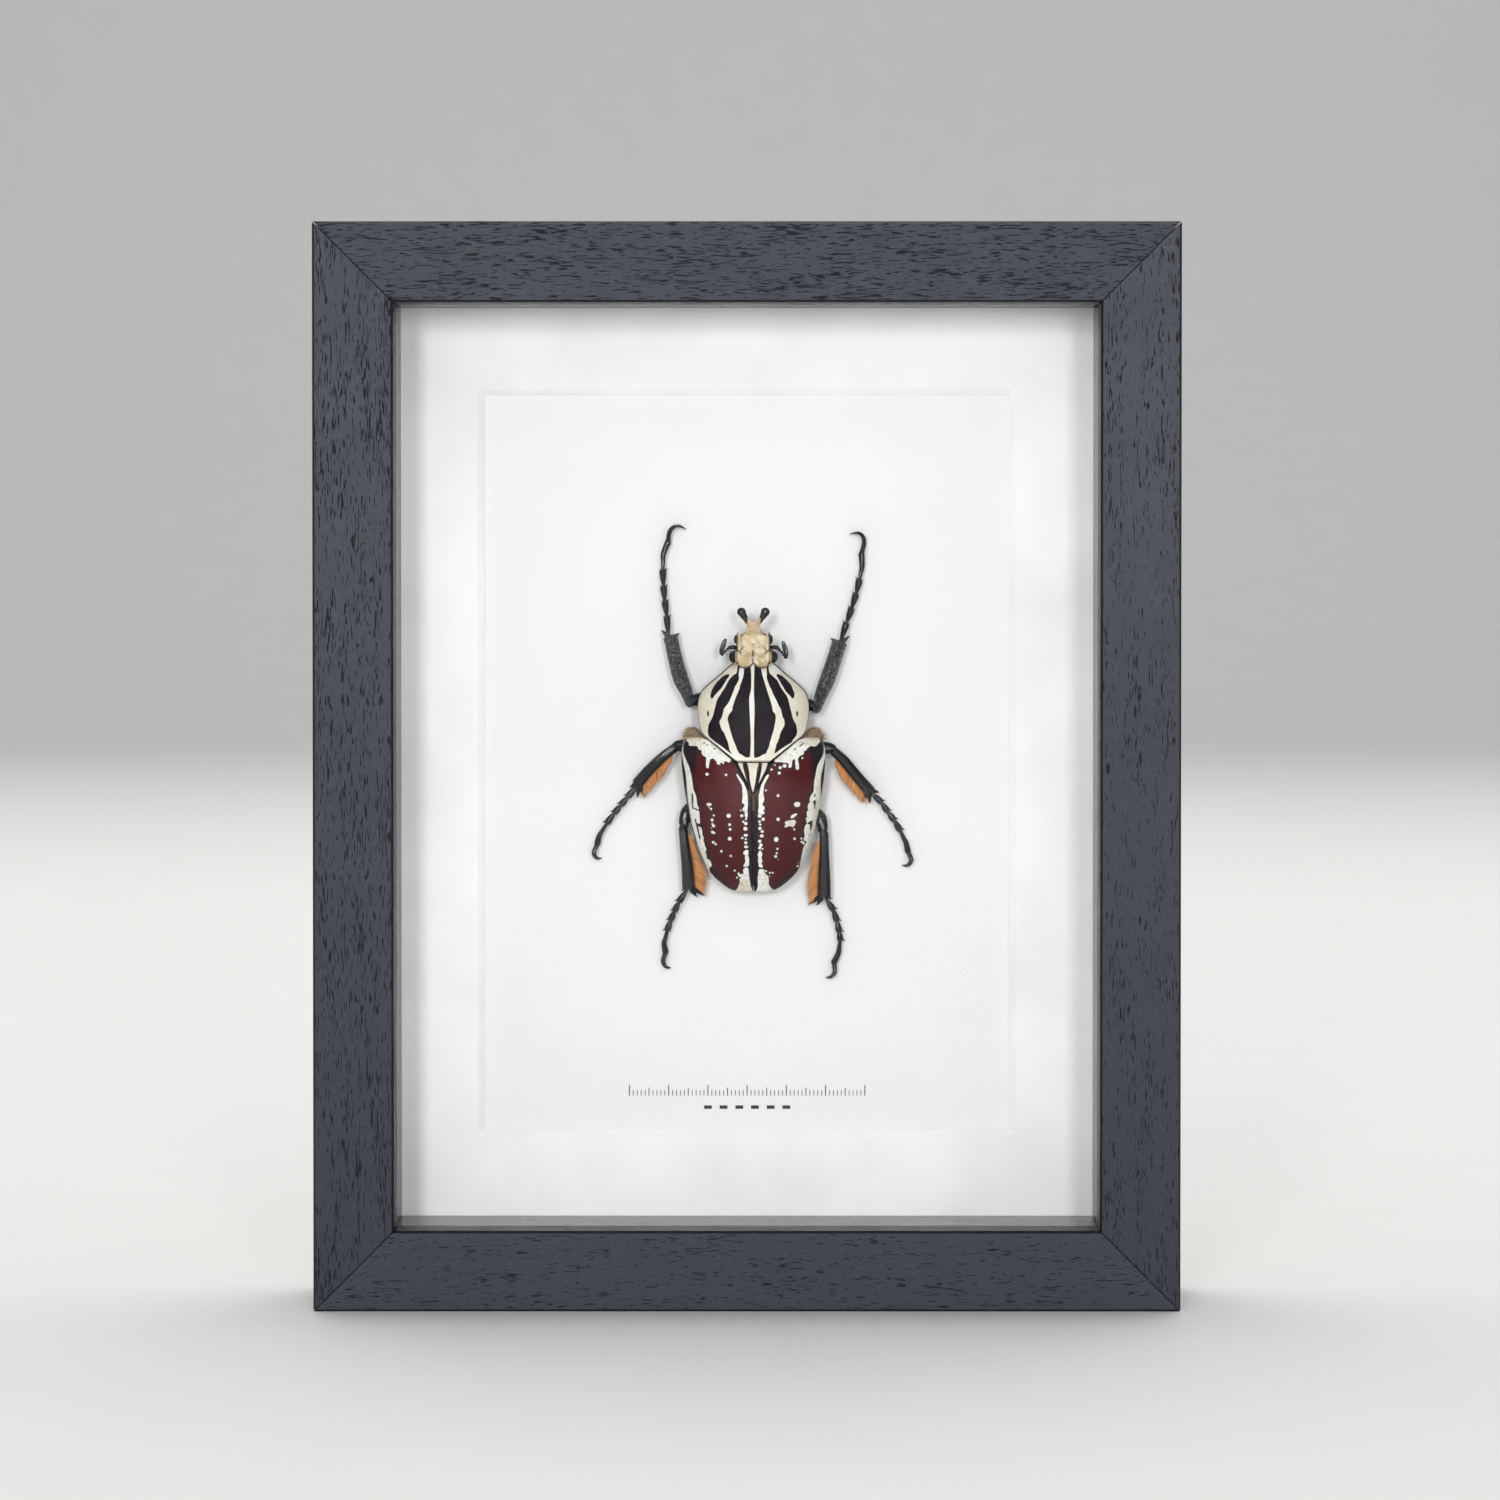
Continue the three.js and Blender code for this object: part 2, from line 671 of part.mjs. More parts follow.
// Head: a flat face plate with a forked horn, round cheeks, eyes and jaw lobes
function facePlate() {
  const shape = new THREE.Shape();
  const base = HEAD_LOBE.y - HEAD_LOBE.radius;
  shape.moveTo(0, base + 1.2);
  shape.quadraticCurveTo(0.7, base + 0.1, HEAD_LOBE.x, base + 0.1);
  shape.quadraticCurveTo(4.0, base + 0.3, 4.15, 26.3);
  shape.lineTo(3.95, 29.5);
  shape.lineTo(4.0, 32.6);
  shape.lineTo(3.55, 32.5);
  shape.quadraticCurveTo(3.3, 31.5, 2.6, 32.1);
  shape.quadraticCurveTo(1.5, 33.0, 1.65, 34.4);
  shape.quadraticCurveTo(1.75, 35.4, 2.3, 36.0);
  shape.lineTo(1.3, 36.6);
  shape.quadraticCurveTo(0.6, 35.9, 0, 35.9);
  const half = shape.getPoints(2);
  const mirrored = half
    .slice(1, -1)
    .toReversed()
    .map((p) => new THREE.Vector2(-p.x, p.y));
  const outline = new THREE.Shape([...half, ...mirrored]);
  const bevel = 0.35;
  return new THREE.ExtrudeGeometry(outline, {
    depth: HEAD_THICKNESS - 2 * bevel,
    bevelThickness: bevel,
    bevelSize: bevel * 0.7,
    bevelOffset: -bevel * 0.7,
    bevelSegments: 1,
  }).translate(0, 0, HEAD_TOP - HEAD_THICKNESS + bevel);
}

function hornProng(side) {
  const height = HEAD_TOP - HEAD_THICKNESS / 2;
  const stations = [
    [side * 1.45, 35.2, height],
    [side * 2.0, 36.1, height + 0.1],
    [side * 2.55, 37.0, height + 0.3],
    [side * 2.9, 37.75, height + 0.45],
  ];
  const size = [0.7, 0.82, 1.02, 1.0];
  return roundedLimb(stations, size, size, 7);
}

function head() {
  const parts = [facePlate(), ball(0, 28.3, 7.9, 2.8, 2.9, 3, 9, 6)];
  for (const side of [-1, 1]) {
    parts.push(hornProng(side));
    parts.push(ball(side * 4.75, 26.55, 9.7, 1.35, 1.35, 1.6, 8, 5));
    parts.push(ball(side * 4.4, 31.0, 9.7, 0.9, 1.3, 1.0, 6, 4));
  }
  return piece("head", join(...parts), "cream");
}

// Antenna: a thick first joint, a thin stalk and a long flat club folded back along the stalk
function antenna(name, side) {
  const at = (x, y) => [side * x, y, ANTENNA_HEIGHT];
  const scape = [0.4, 0.6, 0.5];
  const stalk = [0.36, 0.4, 0.4];
  const club = [0.35, 0.55, 0.52, 0.3];
  const parts = [
    roundedLimb([at(3.5, 28.75), at(4.9, 28.9), at(6.3, 28.7)], scape, scape, 5),
    roundedLimb([at(6.2, 28.7), at(7.2, 27.7), at(8.1, 26.2)], stalk, stalk, 5),
    roundedLimb([at(8.3, 25.9), at(8.3, 27.4), at(7.8, 29.1), at(7.3, 30.5)], club, club, 5),
  ];
  return piece(name, join(...parts), "chitin");
}

// The rest of the body under the wing covers, with its furry shoulders beside the pronotum
const bodyFrontEdge = through([
  [0, -0.4],
  [3.8, -0.4],
  [5, 0.35],
  [8, 2.85],
  [11.3, 5.4],
  [12.5, 6.1],
  [13.4, 7.2],
  [14.2, 8.2],
  [15.4, 8.5],
  [16.5, 7.8],
  [17.1, 6.6],
]);
const bodyHindEdge = through([
  [0, -31.6],
  [4, -31.3],
  [6.5, -30.3],
  [8.5, -28.5],
  [10.4, -26.2],
  [12.4, -22.4],
  [14.1, -17.2],
  [15.5, -10.5],
  [16.4, -4],
  [17.1, 2],
]);

function bodyTop(x, y) {
  const gap = BODY_GAP + 0.8 * THREE.MathUtils.smoothstep(Math.abs(x), 13.5, 16.5);
  const underWing = wingTop(x, Math.min(y, SHOULDER_Y)) - WING_THICKNESS - gap;
  return underWing - 0.45 * Math.max(y - SHOULDER_Y, 0) ** 2;
}

function bodyBottom(x, y) {
  const share = Math.abs(x) / (wingHalfWidth(Math.min(y, 2)) - 1.1);
  const rise = 3.4 * THREE.MathUtils.smoothstep(-y, 25, 33);
  return Math.min(0.4 + 7 * Math.min(share, 1) ** 2.2 + rise, bodyTop(x, y) - 0.5);
}

function underbody() {
  const half = [4, 7, 9.5, 11.6, 13, 14.3, 15.6, 16.6, 17.1];
  const stations = [...half.toReversed().map((x) => -x), 0, ...half];
  const rows = stations.map((x) => ({
    at: x,
    from: bodyHindEdge(Math.abs(x)),
    to: bodyFrontEdge(Math.abs(x)),
  }));
  const shares = [0, 0.12, 0.4, 0.7, 0.88, 1];
  const geometry = slab({ rows, shares, top: bodyTop, bottom: bodyBottom, alongX: true });
  return piece("underbody", geometry, "belly");
}

// Legs. Each has a femur, a tibia and a tarsus of five joints with two claws. Places are read off
// the mounted specimen, whose two sides aren't quite alike.
const LEGS = [
  {
    name: "fore_leg_left",
    side: -1,
    femur: [[-11.4, 15.5, 4.1], [-13.6, 15.6, 4.6], [-15.7, 15.3, 5.2]],
    femurHalf: [1.7, 1.85, 1.6],
    tibia: [
      [-16.1, 14.7, 5.3], [-17.0, 17.6, 5.4], [-18.4, 20.8, 5.1], [-19.7, 25.4, 4.6],
      [-20.7, 30.0, 4.1], [-21.2, 32.0, 3.9],
    ],
    tibiaHalf: [0.95, 1.6, 1.95, 1.85, 1.8, 2.0],
    spurs: [[-18.7, 32.4], [-23.4, 33.2]],
    joints: [[-21.6, 32.4], [-22.0, 36.9], [-22.5, 40.7], [-22.85, 44.45], [-23.0, 48.7]],
    last: [[-22.85, 52.5], [-21.4, 56.2]],
    claw: [[-21.3, 58.0], [-20.3, 59.3], [-18.8, 59.6], [-17.1, 58.8]],
  },
  {
    name: "fore_leg_right",
    side: 1,
    femur: [[11.4, 14.4, 4.1], [13.4, 14.3, 4.6], [15.4, 13.9, 5.2]],
    femurHalf: [1.7, 1.85, 1.6],
    tibia: [
      [16.0, 13.3, 5.3], [17.1, 16.6, 5.4], [18.7, 20.6, 5.1], [20.3, 25.2, 4.6],
      [21.5, 29.0, 4.1], [22.0, 30.6, 3.9],
    ],
    tibiaHalf: [0.95, 1.6, 1.95, 1.9, 1.9, 2.1],
    spurs: [[19.6, 31.2], [24.5, 31.7]],
    joints: [[22.3, 31.0], [23.7, 35.2], [25.0, 38.9], [26.1, 42.5], [27.0, 46.2]],
    last: [[27.6, 49.6], [27.4, 53.2]],
    claw: [[28.1, 55.4], [27.6, 57.2], [26.3, 57.9], [24.4, 57.5]],
  },
  {
    name: "middle_leg_left",
    side: -1,
    femur: [[-14.9, 3.6, 3.8], [-17.4, 3.9, 4.9], [-19.6, 3.9, 5.5]],
    femurHalf: [1.5, 1.8, 1.6],
    tibia: [
      [-19.9, 3.4, 5.6], [-23.2, 0.9, 5.4], [-26.5, -2.3, 4.9], [-29.0, -5.3, 4.2],
      [-29.7, -6.2, 4.0],
    ],
    tibiaHalf: [0.95, 1.25, 1.35, 1.5, 1.55],
    fringe: [0.7, 2.1, 2.3, 1.8],
    spurs: [[-27.7, -9.2], [-29.4, -9.4], [-31.5, -6.8]],
    joints: [[-29.9, -6.7], [-31.9, -9.2], [-33.6, -11.2], [-35.3, -13.3], [-37.3, -16.0]],
    last: [[-39.2, -19.2], [-39.8, -21.8]],
    claw: [[-40.5, -23.2], [-40.3, -24.3], [-39.5, -24.85], [-38.5, -24.8]],
  },
  {
    name: "middle_leg_right",
    side: 1,
    femur: [[14.9, 3.2, 3.8], [17.6, 3.3, 4.9], [20.0, 3.1, 5.5]],
    femurHalf: [1.5, 1.8, 1.6],
    tibia: [[20.3, 2.6, 5.6], [22.9, 0.2, 5.4], [25.9, -3.4, 4.9], [28.9, -7.0, 4.2], [29.9, -8.1, 4.0]],
    tibiaHalf: [0.95, 1.3, 1.35, 1.5, 1.55],
    fringe: [0.7, 2.0, 2.1, 1.6],
    spurs: [[27.7, -10.5], [29.6, -10.9], [31.9, -8.0]],
    joints: [[30.3, -8.4], [32.5, -10.6], [34.1, -12.9], [35.7, -15.1], [37.3, -17.8]],
    last: [[38.8, -21.0], [39.4, -23.7]],
    claw: [[40.1, -25.0], [39.7, -26.2], [38.9, -26.7], [37.8, -26.6]],
  },
  {
    name: "hind_leg_left",
    side: -1,
    femur: [[-14.0, -10.4, 3.5], [-16.9, -12.9, 4.6], [-17.6, -16.2, 5.3]],
    femurHalf: [1.5, 1.95, 1.6],
    tibia: [
      [-17.8, -16.9, 5.4], [-17.4, -21.5, 5.2], [-16.8, -26.5, 4.7], [-16.5, -31.4, 4.2],
      [-16.4, -32.6, 4.0],
    ],
    tibiaHalf: [0.95, 1.25, 1.5, 1.65, 1.7],
    fringe: [0.5, 1.8, 3.2, 2.4],
    spurs: [[-12.4, -34.3], [-14.3, -34.7], [-18.3, -33.0]],
    joints: [[-17.1, -33.1], [-18.9, -35.9], [-20.0, -38.2], [-21.0, -40.5], [-21.9, -43.2]],
    last: [[-22.7, -46.6], [-22.2, -49.4]],
    claw: [[-22.95, -50.7], [-22.7, -51.9], [-22.0, -52.6], [-21.0, -52.7]],
  },
  {
    name: "hind_leg_right",
    side: 1,
    femur: [[14.0, -11.6, 3.5], [16.8, -14.2, 4.6], [17.7, -17.6, 5.3]],
    femurHalf: [1.5, 1.95, 1.6],
    tibia: [
      [17.9, -18.2, 5.4], [18.0, -23.3, 5.2], [18.0, -28.5, 4.7], [18.0, -33.4, 4.2],
      [18.0, -34.7, 4.0],
    ],
    tibiaHalf: [0.95, 1.2, 1.5, 1.65, 1.7],
    fringe: [0.5, 2.1, 2.8, 2.2],
    spurs: [[13.8, -36.6], [16.1, -36.8], [19.9, -35.2]],
    joints: [[18.6, -35.3], [20.3, -37.9], [21.2, -40.7], [21.8, -43.4], [22.1, -45.6]],
    last: [[21.6, -49.0], [20.2, -52.0]],
    claw: [[20.7, -53.3], [20.4, -54.4], [19.5, -55.1], [18.4, -55.2]],
  },
];

const TARSUS_ROOT_HEIGHT = 3.7;
const TARSUS_END_HEIGHT = 2.0;
const JOINT_SIZES = [0.42, 0.85, 0.72];
const JOINT_SHARES = [0, 0.84, 1.02];
const CLAW_SIZES = [0.5, 0.44, 0.4, 0.26, 0.07];

function between(a, b, share) {
  return a.map((value, i) => THREE.MathUtils.lerp(value, b[i], share));
}

// The tarsus places with heights that fall evenly towards the claws.
function tarsusStations(leg) {
  const places = [...leg.joints, ...leg.last];
  const drop = (TARSUS_ROOT_HEIGHT - TARSUS_END_HEIGHT) / (places.length - 1);
  return places.map(([x, y], i) => [x, y, TARSUS_ROOT_HEIGHT - drop * i]);
}

// One short joint: thin where it leaves the last one and flared at its far end.
function tarsusJoint(from, to) {
  const stations = JOINT_SHARES.map((share) => between(from, to, share));
  return limb(stations, JOINT_SIZES, JOINT_SIZES, 6);
}

// The tooth at the inner corner of a joint's far end.
function jointTooth(from, to, side) {
  const forward = new THREE.Vector3(...to).sub(new THREE.Vector3(...from)).normalize();
  const inward = forward.clone().cross(UP).multiplyScalar(-side);
  const corner = new THREE.Vector3(...between(from, to, 0.86));
  const root = corner.clone().addScaledVector(inward, 0.35);
  const tip = corner.clone().addScaledVector(inward, 1.25).addScaledVector(forward, 0.75);
  return spike(root.toArray(), tip.toArray(), 0.32);
}

function claws(leg, root) {
  return [-1, 1].map((level) => {
    const stations = [root, ...leg.claw.map(([x, y], i) => [
      x,
      y,
      root[2] + level * CLAW_SPREAD * Math.min(i + 1, 3) * 0.5,
    ])];
    return limb(stations, CLAW_SIZES, CLAW_SIZES, 4);
  });
}

function tarsus(leg) {
  const stations = tarsusStations(leg);
  const parts = [];
  for (let i = 0; i < 4; i += 1) {
    parts.push(tarsusJoint(stations[i], stations[i + 1]));
    parts.push(jointTooth(stations[i], stations[i + 1], leg.side));
  }
  const last = stations.slice(4);
  parts.push(limb(last, [0.46, 0.58, 0.72], [0.46, 0.58, 0.72], 6));
  parts.push(...claws(leg, last.at(-1)));
  return join(...parts);
}

function tibiaHeights(leg) {
  const flat = leg.fringe ? 0.8 : 0.68;
  return leg.tibiaHalf.map((half) => half * flat);
}

function tibia(leg) {
  const shank = roundedLimb(leg.tibia, leg.tibiaHalf, tibiaHeights(leg));
  const end = leg.tibia.at(-1);
  const spurs = leg.spurs.map(([x, y]) => {
    const root = between(end, [x, y, end[2] - 0.4], 0.35);
    return spike(root, [x, y, end[2] - 0.6], 0.5);
  });
  const stations = tarsusStations(leg);
  const behind = between(stations[1], stations[0], 1.1);
  const size = JOINT_SIZES.map((half) => half + FIT_GAP);
  const socket = limb([behind, between(stations[0], stations[1], 0.84)], [size[0], size[1]], size, 6);
  return cut(join(shank, ...spurs), socket);
}

function femur(leg) {
  const upwards = leg.femurHalf.map((half) => half * 0.82);
  const thigh = roundedLimb(leg.femur, leg.femurHalf, upwards, 7);
  const wider = (sizes) => sizes.map((size) => size + FIT_GAP);
  const knee = roundedLimb(leg.tibia, wider(leg.tibiaHalf), wider(tibiaHeights(leg)), 6);
  return cut(thigh, knee);
}

// The solid that a tibia's fringe of hair fills, beside its inner edge.
function fringe(leg) {
  const stations = leg.tibia.slice(0, leg.fringe.length);
  const start = between(stations[0], stations[1], 0.3);
  const spine = [start, ...stations.slice(1)];
  const placed = spine.map((station, i) => {
    const next = new THREE.Vector3(...(spine[i + 1] ?? station));
    const from = new THREE.Vector3(...(spine[i + 1] ? station : spine[i - 1]));
    const inward = next.sub(from).setZ(0).normalize().cross(UP).multiplyScalar(leg.side);
    const edge = (i === 0 ? 1.15 : leg.tibiaHalf[i]) + FIT_GAP + leg.fringe[i] / 2;
    const middle = new THREE.Vector3(...station).addScaledVector(inward, edge);
    return middle.setZ(station[2] - 0.5).toArray();
  });
  const halves = leg.fringe.map((width) => width / 2);
  return limb(placed, halves, [0.35, 0.6, 0.6, 0.5], 6);
}

function legParts(leg) {
  const group = new THREE.Group();
  group.add(piece(`${leg.name}_femur`, femur(leg), "chitin"));
  group.add(piece(`${leg.name}_tibia`, tibia(leg), "chitin"));
  group.add(piece(`${leg.name}_tarsus`, tarsus(leg), "chitin"));
  if (leg.fringe) group.add(piece(`${leg.name}_fringe`, fringe(leg), "fringe"));
  return group;
}

function beetleParts() {
  const group = new THREE.Group();
  group.add(underbody());
  group.add(pronotum());
  group.add(head());
  group.add(antenna("antenna_left", -1));
  group.add(antenna("antenna_right", 1));
  group.add(scutellum());
  group.add(wingCover("wing_cover_left", -1));
  group.add(wingCover("wing_cover_right", 1));
  LEGS.forEach((leg) => group.add(legParts(leg)));
  const cardFace = MAT_DEPTH + MAT_THICKNESS + FIT_GAP - FRAME_DEPTH / 2;
  group.rotation.x = Math.PI / 2;
  group.position.set(BEETLE_RIGHT_OF_MIDDLE, cardFace, BEETLE_ABOVE_BASE);
  return group;
}

const framedBeetle = new THREE.Group();
framedBeetle.add(frameParts());
framedBeetle.add(beetleParts());

export default framedBeetle;
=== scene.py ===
"""Looks of the framed goliath beetle, laid out as a Blender add-on and run as a script.

Sizes of the beetle are in millimetres in its own place: x to its right, y towards its horn and
heights off the card. at() turns them into metres in the part's frame.
"""

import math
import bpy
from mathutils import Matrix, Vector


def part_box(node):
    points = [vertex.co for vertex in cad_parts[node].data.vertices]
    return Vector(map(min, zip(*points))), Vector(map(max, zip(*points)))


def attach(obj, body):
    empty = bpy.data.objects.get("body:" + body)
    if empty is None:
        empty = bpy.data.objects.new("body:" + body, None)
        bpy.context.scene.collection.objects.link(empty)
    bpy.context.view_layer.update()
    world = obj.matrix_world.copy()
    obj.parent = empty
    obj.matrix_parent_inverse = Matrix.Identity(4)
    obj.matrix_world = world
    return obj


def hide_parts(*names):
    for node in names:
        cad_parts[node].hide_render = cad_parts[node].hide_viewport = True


bl_info = {
    "name": "Framed goliath beetle",
    "version": (1, 0, 0),
    "blender": (4, 5, 0),
    "location": "3D View > Sidebar > Beetle",
    "description": "Builds the looks of a goliath beetle in a black box frame",
    "category": "Object",
}

import bpy
import numpy as np

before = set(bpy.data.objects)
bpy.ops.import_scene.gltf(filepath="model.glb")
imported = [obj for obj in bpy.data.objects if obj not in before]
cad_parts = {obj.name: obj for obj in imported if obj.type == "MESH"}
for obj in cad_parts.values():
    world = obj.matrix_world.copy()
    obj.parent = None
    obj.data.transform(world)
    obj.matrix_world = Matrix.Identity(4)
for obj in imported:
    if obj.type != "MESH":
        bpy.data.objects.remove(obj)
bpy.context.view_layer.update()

MM = 0.001
CARD_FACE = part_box("backing_card")[0].y / MM
BEETLE_X = 1.6
BEETLE_Z = 135.5

# Depths in the frame, in millimetres, and each rail's (name, upright, share of the pores)
RAIL_FACE = -20.0
PANE_BACK = -8.0
RAIL_PORES = (
    ("top", False, 1.0), ("left", True, 0.9), ("right", True, 0.4), ("bottom", False, 0.15),
)

# The camera, fitted to the corners of the frame, and the lights in metres:
# name, place, the point it faces, size and colour
CAMERA_PLACE = (0.002157, -1.156994, 0.18)
CAMERA_PITCH = -0.0162
CAMERA_YAW = 0.001216
CAMERA_SHIFT = -0.06
SENSOR_WIDTH = 36
MIDDLE = (0, -0.01, 0.135)
WHITE_LIGHT = (1.0, 1.0, 1.0)
LIGHTS = (
    ("key_light", (-0.56, -3.0, 0.62), MIDDLE, (0.36, 0.7), WHITE_LIGHT),
    ("front_light", (0.56, -3.0, 0.5), MIDDLE, (0.36, 0.7), WHITE_LIGHT),
    ("top_light", (-0.3, -2.2, 1.9), MIDDLE, (1.4, 0.8), (0.88, 0.94, 1.0)),
    ("floor_light", (0, 1.25, 2.6), (0, 1.25, 0), (3, 2.6), WHITE_LIGHT),
)

# Outlines of the body, the same as in the solids: (place along y, value)
WING_HALF_WIDTH = (
    (6.2, 16.0), (5.6, 17.3), (4.4, 17.95), (2, 18.15), (-1, 18.1), (-8, 17.3), (-16.5, 15.65),
    (-22, 13.8), (-28.2, 10.9), (-31.3, 7.7), (-32.6, 5.6), (-33.1, 4.0),
)
WING_CREST = (
    (6.2, 16.2), (0, 17.4), (-8, 18.1), (-15, 17.8), (-21, 16.3), (-26, 13.9), (-30, 10.9),
    (-32.2, 8.7), (-33.1, 7.6),
)
WING_RIM = ((6.2, 9.2), (0, 8.6), (-14, 8.0), (-25, 7.4), (-33.1, 6.7))
PRONOTUM_HALF_WIDTH = (
    (24.9, 5.2), (24.4, 5.9), (22.3, 8.2), (20, 11.0), (17.8, 13.15), (15.5, 13.95), (13.4, 14.1),
    (10.9, 13.85), (8.6, 13.4), (7.2, 12.65), (6.1, 11.5), (3.2, 7.75), (0.35, 4.15),
)
PRONOTUM_CREST = ((24.9, 12.8), (22, 14.6), (17, 16.9), (11, 18.1), (4, 18.4), (0.35, 18.1))
PRONOTUM_KEEL = ((24.9, 2.2), (20, 5.2), (5, 5.2), (0.35, 4.2))
APEX_Y = -33.1
SHOULDER_Y = 6.2
SCUTELLUM_HALF = 4.0
SCUTELLUM_LENGTH = 7.75


def at(x, y, height):
    """Beetle millimetres as places in the part's frame, in metres."""
    x, y, height = np.broadcast_arrays(x, y, height)
    return np.stack([BEETLE_X + x, CARD_FACE - height, BEETLE_Z + y], -1) * MM


def smooth_step(value, low, high):
    share = np.clip((value - low) / (high - low), 0, 1)
    return share * share * (3 - 2 * share)


def spline(points, closed=False, steps=12):
    """Points on a Catmull-Rom curve through the given points."""
    points = np.asarray(points, float)
    count = len(points)
    spans = count if closed else count - 1
    index = np.arange(spans)[:, None]
    share = (np.arange(steps) / steps)[None, :, None]

    def pick(offset):
        place = index[:, 0] + offset
        place = place % count if closed else np.clip(place, 0, count - 1)
        return points[place][:, None, :]

    before, start, end, after = pick(-1), pick(0), pick(1), pick(2)
    leave, arrive = (end - before) / 2, (after - start) / 2
    curve = (
        (2 * start - 2 * end + leave + arrive) * share**3
        + (-3 * start + 3 * end - 2 * leave - arrive) * share**2
        + leave * share
        + start
    ).reshape(-1, points.shape[1])
    return curve if closed else np.vstack([curve, points[-1:]])


def along(pairs):
    """A smooth function through (place, value) pairs."""
    curve = spline(pairs)
    curve = curve[np.argsort(curve[:, 0])]
    return lambda place: np.interp(place, curve[:, 0], curve[:, 1])


wing_half_width = along(WING_HALF_WIDTH)
wing_crest = along(WING_CREST)
wing_rim = along(WING_RIM)
pronotum_half_width = along(PRONOTUM_HALF_WIDTH)
pronotum_crest = along(PRONOTUM_CREST)
pronotum_keel = along(PRONOTUM_KEEL)


def wing_top(x, y):
    share = np.clip(np.abs(x) / wing_half_width(y), 0, 1)
    return wing_rim(y) + (wing_crest(y) - wing_rim(y)) * (1 - share**2.5) ** 0.62


def pronotum_top(x, y):
    outline = pronotum_half_width(np.maximum(y, 9))
    width = 14.7 + (outline - 14.7) * smooth_step(y, 6, 14)
    share = np.clip(np.abs(x) / width, 0, 1)
    return 8.5 + (pronotum_crest(y) - 8.5) * (1 - share**2.6) ** 0.58


# Modelling helpers
def deselect():
    if bpy.context.mode != "OBJECT":
        bpy.ops.object.mode_set(mode="OBJECT")
    bpy.ops.object.select_all(action="DESELECT")


def select_only(*pieces):
    deselect()
    for piece in pieces:
        piece.select_set(True)
    bpy.context.view_layer.objects.active = pieces[0]


def places_of(piece):
    places = np.empty(len(piece.data.vertices) * 3)
    piece.data.vertices.foreach_get("co", places)
    return places.reshape(-1, 3)


def move_to(piece, places):
    piece.data.vertices.foreach_set("co", np.ascontiguousarray(places).ravel())
    piece.data.update()


def fresh_grid(name, columns, rows):
    deselect()
    bpy.ops.mesh.primitive_grid_add(x_subdivisions=columns, y_subdivisions=rows, size=2)
    piece = bpy.context.active_object
    piece.name = piece.data.name = name
    return piece


def close_up(piece):
    """Merges the seam and the poles and turns every face outwards."""
    select_only(piece)
    bpy.ops.object.mode_set(mode="EDIT")
    bpy.ops.mesh.select_all(action="SELECT")
    bpy.ops.mesh.remove_doubles(threshold=2e-6)
    bpy.ops.mesh.normals_make_consistent(inside=False)
    bpy.ops.object.mode_set(mode="OBJECT")
    return piece


def slab(name, columns, rows, plan, top, bottom):
    """A grid pulled into a closed slab: plan places its points, top and bottom raise them."""
    piece = fresh_grid(name, columns, rows)
    bpy.ops.object.mode_set(mode="EDIT")
    bpy.ops.mesh.select_all(action="SELECT")
    bpy.ops.mesh.extrude_region_move(TRANSFORM_OT_translate={"value": (0, 0, -1)})
    bpy.ops.object.mode_set(mode="OBJECT")
    places = places_of(piece)
    under = places[:, 2] < -0.5
    x, y = plan((places[:, 0] + 1) / 2, (places[:, 1] + 1) / 2)
    move_to(piece, at(x, y, np.where(under, bottom(x, y), top(x, y))))
    close_up(piece)
    bpy.ops.object.shade_smooth_by_angle(angle=math.radians(40))
    return piece


def tube(name, stations, across, upwards, around=14, rings=36, swell=None, noses=(1, 1)):
    """A grid rolled into a tapered limb through [x, y, height] stations, with rounded ends."""
    piece = fresh_grid(name, around, rings)
    places = places_of(piece)
    angle = (places[:, 0] + 1) * math.pi
    share = (places[:, 1] + 1) / 2
    share = share - 0.85 * np.sin(2 * math.pi * share) / (2 * math.pi)
    data = np.column_stack([np.asarray(stations, float), across, upwards])
    line = spline(data)
    steps = np.linalg.norm(np.diff(line[:, :3], axis=0), axis=1)
    length = np.concatenate([[0], np.cumsum(steps)])
    total = length[-1]
    here = share * total
    middle = np.column_stack([np.interp(here, length, line[:, k]) for k in range(3)])
    ahead = np.column_stack([np.interp(here + 0.05, length, line[:, k]) for k in range(3)])
    behind = np.column_stack([np.interp(here - 0.05, length, line[:, k]) for k in range(3)])
    forward = ahead - behind
    forward /= np.linalg.norm(forward, axis=1)[:, None]
    side = np.cross(forward, (0, 0, 1))
    side /= np.linalg.norm(side, axis=1)[:, None]
    over = np.cross(side, forward)
    wide = np.interp(here, length, line[:, 3])
    tall = np.interp(here, length, line[:, 4])
    for nose, gone in ((noses[0] * across[0], here), (noses[1] * across[-1], total - here)):
        ease = np.sqrt(np.clip(1 - (1 - np.clip(gone / nose, 0, 1)) ** 2, 0, 1))
        wide, tall = wide * ease, tall * ease
    if swell:
        rise = swell(angle, here)
        wide, tall = wide * rise, tall * rise
    spot = middle + side * (np.cos(angle) * wide)[:, None] + over * (np.sin(angle) * tall)[:, None]
    move_to(piece, at(spot[:, 0], spot[:, 1], spot[:, 2]))
    close_up(piece)
    bpy.ops.object.shade_smooth()
    return piece


def spike(name, root, tip, radius):
    middle = [(a + b) / 2 for a, b in zip(root, tip)]
    sizes = [radius, radius * 0.62, radius * 0.1]
    return tube(name, [root, middle, tip], sizes, sizes, 10, 12, noses=(0.6, 1))


